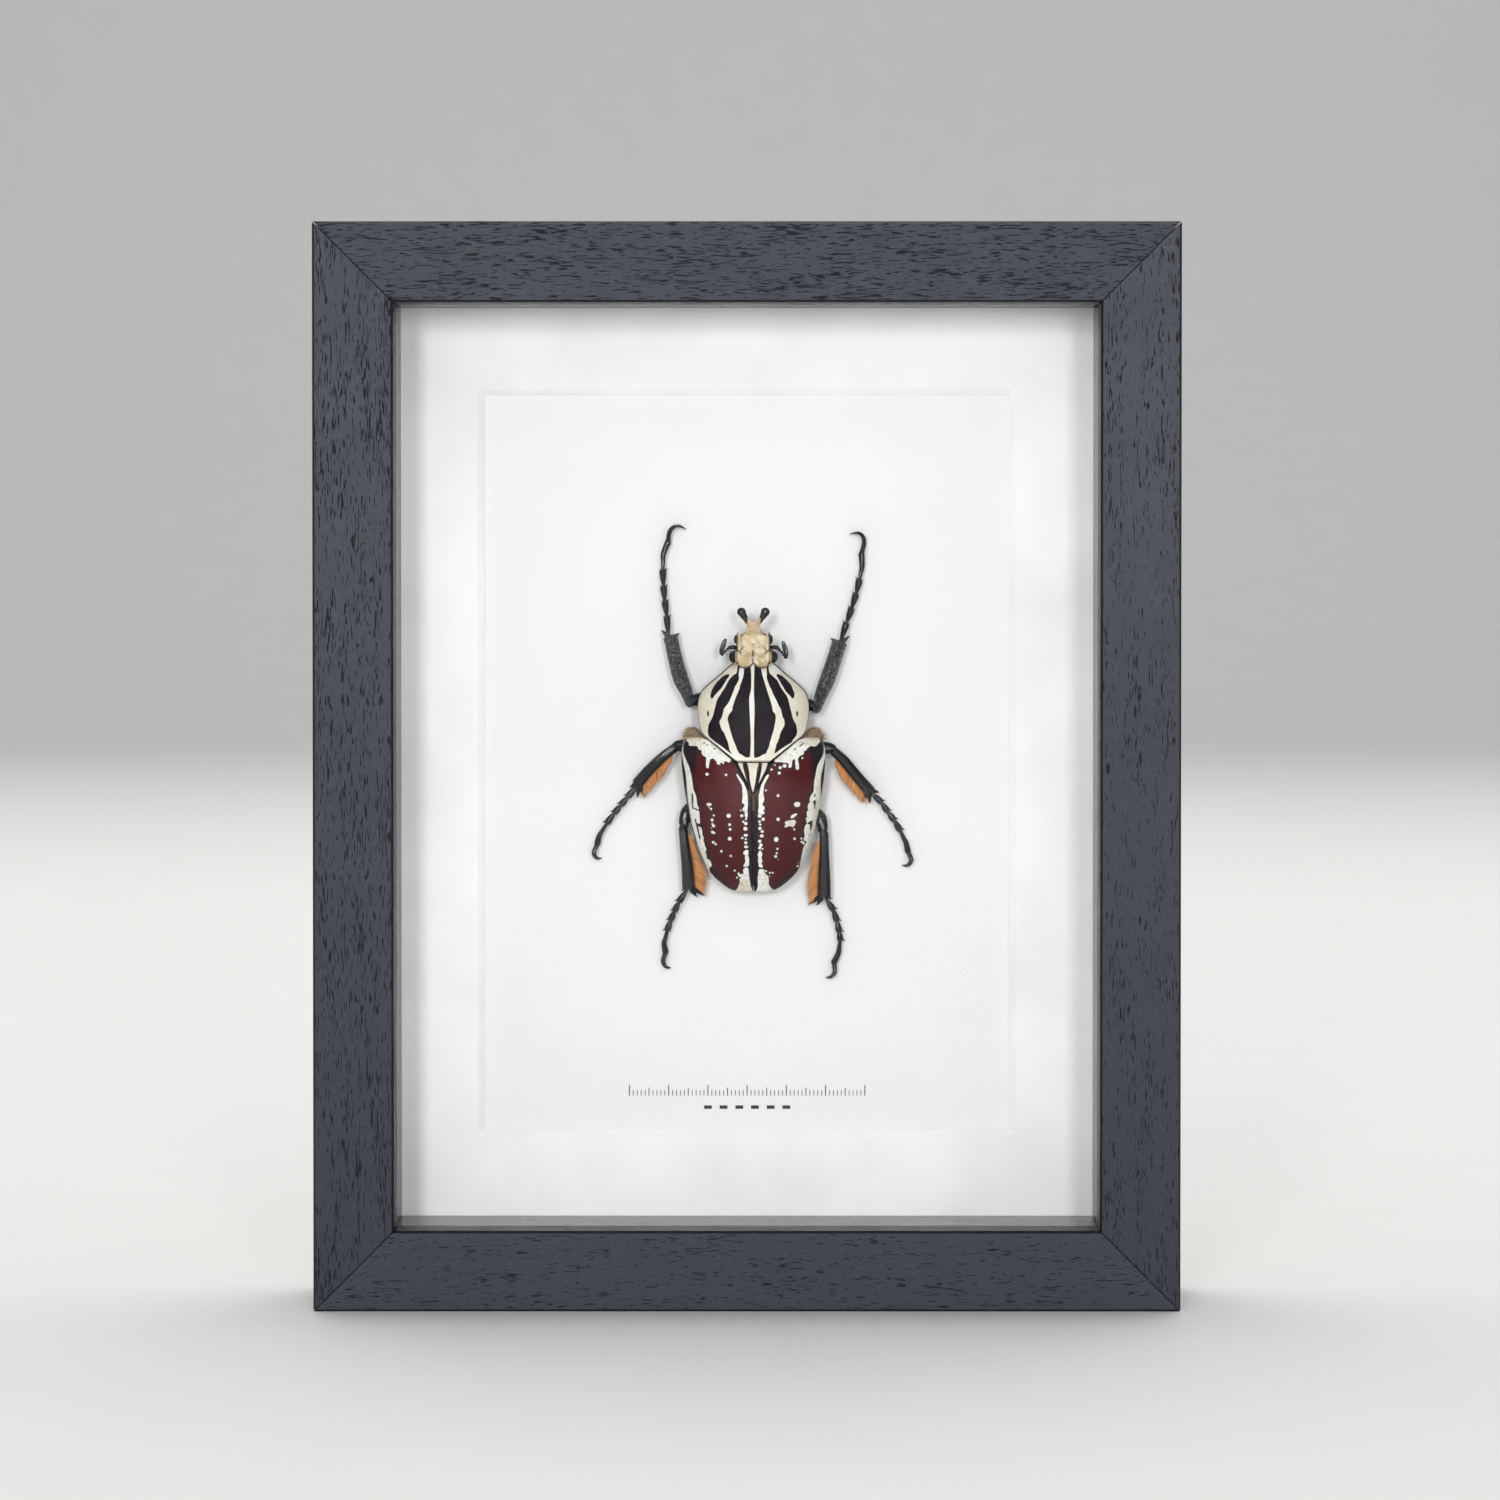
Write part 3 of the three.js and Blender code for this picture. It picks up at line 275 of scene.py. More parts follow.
def ball(name, centre, radii, segments=32, rings=20):
    deselect()
    bpy.ops.mesh.primitive_uv_sphere_add(segments=segments, ring_count=rings, radius=1)
    piece = bpy.context.active_object
    piece.name = piece.data.name = name
    places = places_of(piece) * radii + centre
    move_to(piece, at(places[:, 0], places[:, 1], places[:, 2]))
    close_up(piece)
    bpy.ops.object.shade_smooth()
    return piece


def join(name, pieces):
    select_only(*pieces)
    if len(pieces) > 1:
        bpy.ops.object.join()
    whole = bpy.context.active_object
    whole.name = whole.data.name = name
    return whole


def blend_together(piece, voxel, passes):
    """Melts the forms of a piece into one skin."""
    select_only(piece)
    remesh = piece.modifiers.new("Melt", "REMESH")
    remesh.mode = "VOXEL"
    remesh.voxel_size = voxel * MM
    remesh.use_smooth_shade = True
    bpy.ops.object.modifier_apply(modifier=remesh.name)
    smooth = piece.modifiers.new("Soften", "SMOOTH")
    smooth.factor = 0.5
    smooth.iterations = passes
    bpy.ops.object.modifier_apply(modifier=smooth.name)
    return piece


def finish(piece, material, slot, *nodes):
    piece.data.materials.clear()
    piece.data.materials.append(material)
    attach(piece, "root")
    if nodes:
        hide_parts(*nodes)
    return piece


def repaint(material, *nodes):
    """A better material on CAD nodes that keep their shape."""
    for node in nodes:
        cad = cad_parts[node]
        cad.data.materials.clear()
        cad.data.materials.append(material)


# Markings, as signed distances in millimetres that a material turns into crisp edges
def distance_to_line(x, y, points):
    near = np.full(x.shape, 1e9)
    for (ax, ay), (bx, by) in zip(points[:-1], points[1:]):
        dx, dy = bx - ax, by - ay
        share = np.clip(((x - ax) * dx + (y - ay) * dy) / max(dx * dx + dy * dy, 1e-12), 0, 1)
        near = np.minimum(near, np.hypot(x - ax - share * dx, y - ay - share * dy))
    return near


def distance_to_patch(x, y, points):
    ring = spline(points, closed=True, steps=4)
    ring = np.vstack([ring, ring[:1]])
    near = distance_to_line(x, y, ring)
    inside = np.zeros(x.shape, bool)
    for (ax, ay), (bx, by) in zip(ring[:-1], ring[1:]):
        if ay != by:
            crossed = ((ay > y) != (by > y)) & (x < (bx - ax) * (y - ay) / (by - ay) + ax)
            inside ^= crossed
    return np.where(inside, -near, near)


def marking(x, y, spots=(), patches=(), strokes=()):
    """Signed distance to the nearest mark.

    A spot is (x, y, half width, half height), a patch an outline, a stroke (width, points).
    """
    near = np.full(x.shape, 9.0)
    for spot in spots:
        wide, tall = spot[2], spot[3] if len(spot) > 3 else spot[2]
        apart = np.hypot((x - spot[0]) / wide, (y - spot[1]) / tall)
        near = np.minimum(near, (apart - 1) * min(wide, tall))
    for patch in patches:
        near = np.minimum(near, distance_to_patch(x, y, patch))
    for width, points in strokes:
        near = np.minimum(near, distance_to_line(x, y, points) - width / 2)
    return near


def note(piece, name, values):
    attribute = piece.data.attributes.new(name, "FLOAT", "POINT")
    attribute.data.foreach_set("value", np.asarray(values, np.float32))


def beetle_places(piece):
    """x, y and height of a piece's points in beetle millimetres."""
    places = places_of(piece) / MM
    return places[:, 0] - BEETLE_X, places[:, 2] - BEETLE_Z, CARD_FACE - places[:, 1]


# Node helpers
def new_group(name, inputs, outputs):
    group = bpy.data.node_groups.new(name, "ShaderNodeTree")
    for label, kind, default in inputs:
        socket = group.interface.new_socket(label, in_out="INPUT", socket_type=kind)
        if default is not None:
            socket.default_value = default
    for label, kind in outputs:
        group.interface.new_socket(label, in_out="OUTPUT", socket_type=kind)
    nodes = group.nodes
    return group, nodes.new("NodeGroupInput"), nodes.new("NodeGroupOutput")


def put(tree, kind, values=None, **settings):
    """A node with its settings, and its inputs set or linked by name or number."""
    node = tree.nodes.new(kind)
    for name, value in settings.items():
        setattr(node, name, value)
    for key, value in (values or {}).items():
        if isinstance(value, bpy.types.NodeSocket):
            tree.links.new(value, node.inputs[key])
        else:
            node.inputs[key].default_value = value
    return node


def maths(tree, operation, *values, clamp=False):
    inputs = dict(enumerate(values))
    return put(tree, "ShaderNodeMath", inputs, operation=operation, use_clamp=clamp).outputs[0]


def ramp(tree, value, low, high, start=0.0, end=1.0, smooth=True):
    kind = "SMOOTHSTEP" if smooth else "LINEAR"
    values = {"Value": value, "From Min": low, "From Max": high, "To Min": start, "To Max": end}
    node = put(tree, "ShaderNodeMapRange", values, interpolation_type=kind)
    return node.outputs["Result"]


def mix(tree, share, first, second):
    values = {"Factor": share, 6: first, 7: second}
    return put(tree, "ShaderNodeMix", values, data_type="RGBA").outputs[2]


def noise(tree, vector, scale, detail=3.0, roughness=0.5, distortion=0.0):
    values = {
        "Vector": vector, "Scale": scale, "Detail": detail, "Roughness": roughness,
        "Distortion": distortion,
    }
    return put(tree, "ShaderNodeTexNoise", values).outputs["Fac"]


def millimetres(tree):
    """Object coordinates in millimetres."""
    place = put(tree, "ShaderNodeTexCoord").outputs["Object"]
    values = {0: place, 1: (1 / MM,) * 3}
    return put(tree, "ShaderNodeVectorMath", values, operation="MULTIPLY").outputs[0]


def stretched(tree, vector, scales):
    return put(tree, "ShaderNodeMapping", {"Vector": vector, "Scale": scales}).outputs[0]


def noted(tree, name):
    return put(tree, "ShaderNodeAttribute", attribute_name=name).outputs["Fac"]


def bump(tree, height, strength, depth):
    values = {"Height": height, "Strength": strength, "Distance": depth * MM}
    return put(tree, "ShaderNodeBump", values).outputs["Normal"]


def new_material(name, **sockets):
    material = bpy.data.materials.new(name)
    material.use_nodes = True
    tree = material.node_tree
    shader = tree.nodes["Principled BSDF"]
    for label, value in sockets.items():
        label = label.replace("_", " ")
        set_socket(tree, shader, label, value)
    return material, tree, shader


def set_socket(tree, shader, label, value):
    socket = shader.inputs[label]
    if isinstance(value, bpy.types.NodeSocket):
        tree.links.new(value, socket)
    else:
        socket.default_value = value


def opaque(colour):
    return (*colour[:3], 1.0)


# Effects that more than one material uses
def marking_group():
    group, given, out = new_group(
        "Marking edge",
        [("Vector", "NodeSocketVector", None), ("Distance", "NodeSocketFloat", 0.0),
         ("Wobble", "NodeSocketFloat", 0.15), ("Softness", "NodeSocketFloat", 0.06)],
        [("Mask", "NodeSocketFloat"), ("Halo", "NodeSocketFloat")],
    )
    rough = noise(group, given.outputs["Vector"], 2.2, 4.0, 0.6)
    shift = maths(group, "MULTIPLY", maths(group, "SUBTRACT", rough, 0.5), given.outputs["Wobble"])
    edge = maths(group, "ADD", given.outputs["Distance"], shift)
    low = maths(group, "MULTIPLY", given.outputs["Softness"], -1.0)
    mask = ramp(group, edge, given.outputs["Softness"], low)
    halo = ramp(group, edge, 0.42, 0.05)
    group.links.new(mask, out.inputs["Mask"])
    group.links.new(halo, out.inputs["Halo"])
    return group


def pore_group():
    group, given, out = new_group(
        "Open wood pores",
        [("Vector", "NodeSocketVector", None), ("Amount", "NodeSocketFloat", 0.5),
         ("Length", "NodeSocketFloat", 1.0)],
        [("Pores", "NodeSocketFloat"), ("Fibres", "NodeSocketFloat"),
         ("Height", "NodeSocketFloat")],
    )
    lengthen = put(group, "ShaderNodeCombineXYZ", {"Y": 1.0, "Z": 1.0})
    group.links.new(maths(group, "DIVIDE", 1.0, given.outputs["Length"]), lengthen.inputs["X"])
    values = {0: given.outputs["Vector"], 1: lengthen.outputs[0]}
    place = put(group, "ShaderNodeVectorMath", values, operation="MULTIPLY").outputs[0]
    warp = put(group, "ShaderNodeTexNoise", {"Vector": place, "Scale": 0.12, "Detail": 1.0})
    values = {0: warp.outputs["Color"], 1: (0.0, 0.7, 0.7), 2: place}
    bent = put(group, "ShaderNodeVectorMath", values, operation="MULTIPLY_ADD").outputs[0]
    dashes = noise(group, stretched(group, bent, (0.3, 3.0, 3.0)), 1.0, 1.0, 0.5)
    crowd = noise(group, stretched(group, bent, (0.05, 0.5, 0.5)), 1.0, 2.0)
    level = ramp(group, crowd, 0.3, 0.7, 0.76, 0.6, smooth=False)
    level = maths(group, "ADD", level, maths(group, "MULTIPLY", given.outputs["Amount"], -0.16))
    over = maths(group, "SUBTRACT", dashes, level)
    pores = ramp(group, over, 0.0, 0.018)
    fibres = noise(group, stretched(group, bent, (0.7, 9.0, 9.0)), 1.0, 4.0, 0.65)
    height = maths(group, "SUBTRACT", maths(group, "MULTIPLY", fibres, 0.35), pores)
    group.links.new(pores, out.inputs["Pores"])
    group.links.new(fibres, out.inputs["Fibres"])
    group.links.new(height, out.inputs["Height"])
    return group


def skin_group():
    group, given, out = new_group(
        "Beetle skin",
        [("Vector", "NodeSocketVector", None), ("Grain", "NodeSocketFloat", 4.0)],
        [("Height", "NodeSocketFloat"), ("Clouds", "NodeSocketFloat"),
         ("Pits", "NodeSocketFloat")],
    )
    fine = noise(group, given.outputs["Vector"], given.outputs["Grain"], 5.0, 0.65)
    clouds = noise(group, given.outputs["Vector"], 0.35, 3.0, 0.55, 0.4)
    values = {"Vector": given.outputs["Vector"], "Scale": 1.7, "Randomness": 1.0}
    cells = put(group, "ShaderNodeTexVoronoi", values).outputs["Distance"]
    pits = ramp(group, cells, 0.16, 0.05)
    height = maths(group, "SUBTRACT", fine, maths(group, "MULTIPLY", pits, 0.4))
    group.links.new(height, out.inputs["Height"])
    group.links.new(clouds, out.inputs["Clouds"])
    group.links.new(pits, out.inputs["Pits"])
    return group


def use(tree, group, values):
    shared = bpy.data.node_groups.get(group) or GROUPS[group]()
    return put(tree, "ShaderNodeGroup", values, node_tree=shared).outputs


GROUPS = {
    "Marking edge": marking_group, "Open wood pores": pore_group, "Beetle skin": skin_group,
}


# Finishes of the frame
def black_wood(name, looks, upright, share):
    """Stained wood; share thins out the pores on the rails that show fewer of them. A near-black
    band just behind the front face is painted shade along the rails' edges.
    """
    material, tree, shader = new_material(name)
    place = millimetres(tree)
    depth = put(tree, "ShaderNodeSeparateXYZ", {0: place}).outputs["Y"]
    # rim: a near-black band painted on the chamfer and the first millimetre behind the front face,
    # as shade at the rails' edges
    rim = ramp(tree, depth, RAIL_FACE + 0.05, RAIL_FACE + 0.25)
    rim = maths(tree, "MULTIPLY", rim, ramp(tree, depth, RAIL_FACE + 1.4, RAIL_FACE + 1.1))
    if upright:
        values = {"Vector": place, "Rotation": (0, math.radians(90), 0), "Location": (37, 11, 5)}
        place = put(tree, "ShaderNodeMapping", values).outputs[0]
    amount = looks.pore_amount * share
    values = {"Vector": place, "Amount": amount, "Length": looks.pore_length}
    wood = use(tree, "Open wood pores", values)
    stain = opaque(looks.wood_colour)
    lighter = (*(min(1.0, c * 1.5) for c in looks.wood_colour), 1)
    tone = mix(tree, ramp(tree, wood["Fibres"], 0.3, 0.75), stain, lighter)
    # pores here also carries rim, so the painted edge shade gets the same near-black as the pores
    pores = maths(tree, "MAXIMUM", wood["Pores"], rim)
    colour = mix(tree, pores, tone, (0.003, 0.003, 0.004, 1))
    patchy = noise(tree, place, 0.06, 2.0)
    rough = maths(tree, "ADD", maths(tree, "MULTIPLY", wood["Pores"], 0.35), 0.36)
    rough = maths(tree, "ADD", rough, maths(tree, "MULTIPLY", patchy, 0.1))
    set_socket(tree, shader, "Base Color", colour)
    set_socket(tree, shader, "Roughness", rough)
    set_socket(tree, shader, "Specular IOR Level", 0.42)
    shader.inputs["Specular Tint"].default_value = (0.82, 0.88, 1.0, 1)
    set_socket(tree, shader, "Normal", bump(tree, wood["Height"], 0.6, 0.3))
    return material


def spacer_wood():
    material, tree, shader = new_material("spacer_stain")
    place = millimetres(tree)
    streaks = noise(tree, stretched(tree, place, (0.12, 2.0, 0.12)), 1.0, 4.0, 0.6)
    worn = ramp(tree, streaks, 0.35, 0.7)
    colour = mix(tree, worn, (0.03, 0.028, 0.027, 1), (0.075, 0.066, 0.06, 1))
    depth = put(tree, "ShaderNodeSeparateXYZ", {0: place}).outputs["Y"]
    # joint: the front of the spacer next to the pane is painted near-black, as shade in the gap at
    # the pane's edge
    joint = ramp(tree, depth, PANE_BACK + 1.6, PANE_BACK + 1.2)
    colour = mix(tree, joint, colour, (0.002, 0.002, 0.002, 1))
    set_socket(tree, shader, "Base Color", colour)
    rough = ramp(tree, streaks, 0.3, 0.7, 0.16, 0.34)
    rough = maths(tree, "ADD", rough, maths(tree, "MULTIPLY", joint, 0.5))
    set_socket(tree, shader, "Roughness", rough)
    set_socket(tree, shader, "Specular IOR Level", 0.65)
    set_socket(tree, shader, "Normal", bump(tree, streaks, 0.25, 0.1))
    return material


def clear_pane():
    material, tree, shader = new_material(
        "pane_glass", Transmission_Weight=1.0, Roughness=0.0, IOR=1.45
    )
    shader.inputs["Specular Tint"].default_value = (0.12, 0.12, 0.12, 1)
    shader.inputs["Base Color"].default_value = (0.985, 0.995, 0.992, 1)
    clear = tree.nodes.new("ShaderNodeBsdfTransparent")
    path = tree.nodes.new("ShaderNodeLightPath")
    blend = tree.nodes.new("ShaderNodeMixShader")
    passing = maths(tree, "MAXIMUM", path.outputs["Is Shadow Ray"], path.outputs["Is Diffuse Ray"])
    tree.links.new(passing, blend.inputs[0])
    tree.links.new(shader.outputs[0], blend.inputs[1])
    tree.links.new(clear.outputs[0], blend.inputs[2])
    tree.links.new(blend.outputs[0], tree.nodes["Material Output"].inputs["Surface"])
    return material


def white_paper(name, colour, shade, marks=False):
    material, tree, shader = new_material(name, Roughness=0.85)
    place = millimetres(tree)
    clouds = noise(tree, place, 0.03, 3.0)
    fibres = noise(tree, place, 3.5, 5.0, 0.7)
    paper = mix(tree, ramp(tree, clouds, 0.3, 0.7), opaque(colour), opaque(shade))
    if marks:
        paper = mix(tree, scale_marks(tree, place), paper, (0.05, 0.05, 0.055, 1))
    set_socket(tree, shader, "Base Color", paper)
    set_socket(tree, shader, "Specular IOR Level", 0.25)
    set_socket(tree, shader, "Normal", bump(tree, fibres, 0.25, 0.03))
    return material


def scale_marks(tree, place):
    """A plain scale without numbers: fine ticks every millimetre over a short row of bars."""
    parts = put(tree, "ShaderNodeSeparateXYZ", {0: place}).outputs
    across, height = parts["X"], parts["Z"]

    def near(value, limit):
        return maths(tree, "LESS_THAN", value, limit)

    def band(value, low, high):
        above = maths(tree, "GREATER_THAN", value, low)
        return maths(tree, "MULTIPLY", above, maths(tree, "LESS_THAN", value, high))

    each = near(maths(tree, "PINGPONG", across, 0.5), 0.1)
    fives = near(maths(tree, "PINGPONG", across, 2.5), 0.12)
    tens = near(maths(tree, "PINGPONG", across, 5.0), 0.13)
    ticks = maths(tree, "MULTIPLY", each, band(height, 50.0, 51.4))
    ticks = maths(tree, "MAXIMUM", ticks, maths(tree, "MULTIPLY", fives, band(height, 50.0, 52.0)))
    ticks = maths(tree, "MAXIMUM", ticks, maths(tree, "MULTIPLY", tens, band(height, 50.0, 52.7)))
    ticks = maths(tree, "MULTIPLY", ticks, band(across, -30.3, 30.3))
    blocks = maths(tree, "GREATER_THAN", maths(tree, "PINGPONG", across, 2.0), 1.0)
    bars = maths(tree, "MULTIPLY", blocks, band(height, 46.6, 47.5))
    bars = maths(tree, "MULTIPLY", bars, band(across, -11.0, 11.0))
    return maths(tree, "MAXIMUM", ticks, bars)


def brown_board():
    material, tree, shader = new_material("back_board_fibre", Roughness=0.8)
    place = millimetres(tree)
    fibres = noise(tree, stretched(tree, place, (0.9, 1, 0.25)), 1.2, 6.0, 0.75)
    clouds = noise(tree, place, 0.04, 3.0)
    colour = mix(tree, ramp(tree, fibres, 0.3, 0.7), (0.2, 0.115, 0.058, 1), (0.36, 0.23, 0.125, 1))
    colour = mix(tree, maths(tree, "MULTIPLY", clouds, 0.3), colour, (0.27, 0.17, 0.1, 1))
    set_socket(tree, shader, "Base Color", colour)
    set_socket(tree, shader, "Normal", bump(tree, fibres, 0.5, 0.08))
    return material


def fitting_steel():
    material, tree, shader = new_material("fitting_steel", Metallic=0.95)
    place = millimetres(tree)
    brush = noise(tree, stretched(tree, place, (0.15, 5, 7)), 1.0, 4.0, 0.7)
    stain = noise(tree, place, 0.3, 4.0, 0.6)
    colour = mix(tree, ramp(tree, stain, 0.35, 0.75), (0.62, 0.61, 0.58, 1), (0.42, 0.4, 0.37, 1))
    set_socket(tree, shader, "Base Color", colour)
    set_socket(tree, shader, "Roughness", ramp(tree, brush, 0.3, 0.7, 0.24, 0.46))
    set_socket(tree, shader, "Normal", bump(tree, brush, 0.12, 0.05))
    return material


# Finishes of the beetle
def wing_finish(looks):
    material, tree, shader = new_material("wing_maroon")
    place = millimetres(tree)
    skin = use(tree, "Beetle skin", {"Vector": place, "Grain": 5.0})
    maroon = opaque(looks.maroon)
    deep = (*(c * 0.6 for c in looks.maroon), 1)
    base = mix(tree, ramp(tree, skin["Clouds"], 0.35, 0.9, 0.0, 0.7), maroon, deep)
    base = mix(tree, noted(tree, "shade"), base, (0.013, 0.010, 0.014, 1))
    golden = use(tree, "Marking edge", {"Vector": place, "Distance": noted(tree, "golden")})
    base = mix(tree, maths(tree, "MULTIPLY", golden["Mask"], 0.75), base, (0.36, 0.24, 0.13, 1))
    white = use(
        tree, "Marking edge",
        {"Vector": place, "Distance": noted(tree, "white"), "Wobble": 0.2, "Softness": 0.05},
    )
    base = mix(tree, maths(tree, "MULTIPLY", white["Halo"], 0.8), base, (0.008, 0.006, 0.008, 1))
    grey = noise(tree, place, 1.1, 4.0, 0.6)
    chalk = mix(tree, ramp(tree, grey, 0.45, 0.75), opaque(looks.white), (0.6, 0.59, 0.55, 1))
    cream = mix(tree, ramp(tree, grey, 0.4, 0.75), opaque(looks.cream), (0.5, 0.47, 0.4, 1))
    chalk = mix(tree, noted(tree, "cream"), chalk, cream)
    dirt = use(tree, "Marking edge", {"Vector": place, "Distance": noted(tree, "dirt")})
    chalk = mix(tree, maths(tree, "MULTIPLY", dirt["Mask"], 0.8), chalk, (0.06, 0.05, 0.05, 1))
    colour = mix(tree, white["Mask"], base, chalk)
    dust = maths(tree, "MULTIPLY", noted(tree, "dust"), ramp(tree, grey, 0.42, 0.7))
    colour = mix(tree, maths(tree, "MULTIPLY", dust, 0.05), colour, (0.42, 0.38, 0.38, 1))
    smooth = ramp(tree, skin["Clouds"], 0.3, 0.75, 0.4, 0.52)
    rough = maths(tree, "ADD", smooth, maths(tree, "MULTIPLY", white["Mask"], 0.3))
    height = maths(tree, "ADD", maths(tree, "MULTIPLY", skin["Height"], 0.25), white["Mask"])
    set_socket(tree, shader, "Base Color", colour)
    set_socket(tree, shader, "Roughness", rough)
    set_socket(tree, shader, "Specular IOR Level", 0.08)
    set_socket(tree, shader, "Normal", bump(tree, height, 0.35, 0.12))
    return material


def striped_finish(looks):
    material, tree, shader = new_material("striped_chitin")
    place = millimetres(tree)
    skin = use(tree, "Beetle skin", {"Vector": place, "Grain": 4.0})
    cloudy = ramp(tree, skin["Clouds"], 0.3, 0.75)
    cream = opaque(looks.cream)
    pale = mix(tree, cloudy, opaque(looks.white), cream)
    pale = mix(tree, noted(tree, "cream"), pale, cream)
    pale = mix(tree, noted(tree, "brown"), pale, (0.2, 0.1, 0.04, 1))
    dirt = ramp(tree, noise(tree, place, 1.7, 6.0, 0.8), 0.53, 0.66)
    dirt = maths(tree, "MULTIPLY", dirt, maths(tree, "ADD", noted(tree, "cream"), 0.15))
    pale = mix(tree, maths(tree, "MULTIPLY", dirt, 0.55), pale, (0.3, 0.29, 0.21, 1))
    cloudy = ramp(tree, skin["Clouds"], 0.3, 0.7)
    dark = mix(tree, cloudy, (0.01, 0.009, 0.013, 1), (0.018, 0.013, 0.015, 1))
    speckle = ramp(tree, noise(tree, place, 2.6, 6.0, 0.8), 0.52, 0.64)
    dark = mix(tree, maths(tree, "MULTIPLY", speckle, 0.5), dark, (0.07, 0.063, 0.085, 1))
    white = use(
        tree, "Marking edge",
        {"Vector": place, "Distance": noted(tree, "white"), "Wobble": 0.16, "Softness": 0.06},
    )
    rim = maths(tree, "SUBTRACT", white["Halo"], white["Mask"], clamp=True)
    dark = mix(tree, maths(tree, "MULTIPLY", rim, 0.7), dark, (0.006, 0.005, 0.006, 1))
    set_socket(tree, shader, "Base Color", mix(tree, white["Mask"], dark, pale))
    rough = ramp(tree, skin["Clouds"], 0.3, 0.75, 0.46, 0.6)
    rough = maths(tree, "ADD", rough, maths(tree, "MULTIPLY", white["Mask"], 0.1))
    set_socket(tree, shader, "Roughness", rough)
    set_socket(tree, shader, "Specular IOR Level", 0.05)
    height = maths(tree, "ADD", maths(tree, "MULTIPLY", skin["Height"], 0.6), white["Mask"])
    set_socket(tree, shader, "Normal", bump(tree, height, 0.3, 0.1))
    return material


def head_finish(looks):
    material, tree, shader = new_material("head_cream")
    place = millimetres(tree)
    skin = use(tree, "Beetle skin", {"Vector": place, "Grain": 3.0})
    cloudy = ramp(tree, skin["Clouds"], 0.3, 0.7)
    cream = mix(tree, cloudy, opaque(looks.face), (0.46, 0.35, 0.19, 1))
    stains = ramp(tree, noise(tree, place, 1.8, 5.0, 0.8), 0.52, 0.64)
    cream = mix(tree, maths(tree, "MULTIPLY", stains, 0.55), cream, (0.2, 0.14, 0.07, 1))
    light = noise(tree, place, 0.9, 3.0)
    cream = mix(tree, ramp(tree, light, 0.5, 0.75), cream, (0.72, 0.66, 0.48, 1))
    cream = mix(tree, noted(tree, "tan"), cream, (0.42, 0.235, 0.085, 1))
    cream = mix(tree, noted(tree, "rust"), cream, (0.2, 0.085, 0.025, 1))
    black = use(
        tree, "Marking edge",
        {"Vector": place, "Distance": noted(tree, "black"), "Wobble": 0.1, "Softness": 0.05},
    )
    soot = ramp(tree, noted(tree, "black"), 0.3, 0.0)
    cream = mix(tree, maths(tree, "MULTIPLY", soot, 0.45), cream, (0.12, 0.07, 0.03, 1))
    dark = mix(tree, skin["Pits"], (0.013, 0.012, 0.014, 1), (0.12, 0.12, 0.12, 1))
    set_socket(tree, shader, "Base Color", mix(tree, black["Mask"], cream, dark))
    set_socket(tree, shader, "Roughness", ramp(tree, black["Mask"], 0, 1, 0.42, 0.27))
    set_socket(tree, shader, "Normal", bump(tree, skin["Height"], 0.35, 0.12))
    return material


def black_chitin(name, grain, depth, dents=0.0, shine=0.26):
    """Glossy black; dents adds the small hollows that the fore tibiae have, and with them pale
    flecks painted on as glints.
    """
    material, tree, shader = new_material(name, Coat_Weight=0.35, Coat_Roughness=0.04)
    place = millimetres(tree)
    skin = use(tree, "Beetle skin", {"Vector": place, "Grain": grain})
    colour = mix(tree, skin["Clouds"], (0.003, 0.003, 0.004, 1), (0.009, 0.009, 0.012, 1))
    colour = mix(tree, maths(tree, "MULTIPLY", skin["Pits"], 0.1), colour, (0.11, 0.1, 0.11, 1))
    # Pale flecks painted on as glints, as many as dents asks for
    painted_glints = ramp(tree, noise(tree, place, 1.9, 6.0, 0.8), 0.5, 0.62)
    painted_glints = maths(tree, "MULTIPLY", painted_glints, 0.18 * dents)
    colour = mix(tree, painted_glints, colour, (0.3, 0.31, 0.34, 1))
    hollows = put(tree, "ShaderNodeTexVoronoi", {"Vector": place, "Scale": 2.1, "Randomness": 1.0})
    height = maths(tree, "MULTIPLY", hollows.outputs["Distance"], dents)
    height = maths(tree, "ADD", height, maths(tree, "MULTIPLY", skin["Height"], 0.5))
    set_socket(tree, shader, "Base Color", colour)
    set_socket(tree, shader, "Specular IOR Level", shine)
    set_socket(tree, shader, "Roughness", ramp(tree, skin["Clouds"], 0.3, 0.7, 0.1, 0.2))
    set_socket(tree, shader, "Normal", bump(tree, height, 0.6, depth))
    return material


def belly_finish():
    material, tree, shader = new_material("belly_chitin")
    place = millimetres(tree)
    skin = use(tree, "Beetle skin", {"Vector": place, "Grain": 3.0})
    rings = noise(tree, stretched(tree, place, (0.05, 0.2, 0.6)), 1.0, 2.0)
    banded = ramp(tree, rings, 0.4, 0.65)
    colour = mix(tree, banded, (0.018, 0.013, 0.012, 1), (0.07, 0.042, 0.026, 1))
    set_socket(tree, shader, "Base Color", colour)
    set_socket(tree, shader, "Roughness", ramp(tree, skin["Clouds"], 0.3, 0.7, 0.35, 0.6))
    set_socket(tree, shader, "Normal", bump(tree, skin["Height"], 0.5, 0.2))
    return material


def hair_finish(name, root, middle, tip):
    material, tree, shader = new_material(name, Roughness=0.42, Sheen_Weight=0.35)
    way = noted(tree, "along")
    colour = mix(tree, ramp(tree, way, 0.0, 0.35), opaque(root), opaque(middle))
    colour = mix(tree, ramp(tree, way, 0.45, 1.0), colour, opaque(tip))
    tone = noted(tree, "tone")
    colour = mix(tree, ramp(tree, tone, 0.3, 1.0, 0.0, 0.75), colour, opaque(root))
    set_socket(tree, shader, "Base Color", colour)
    return material


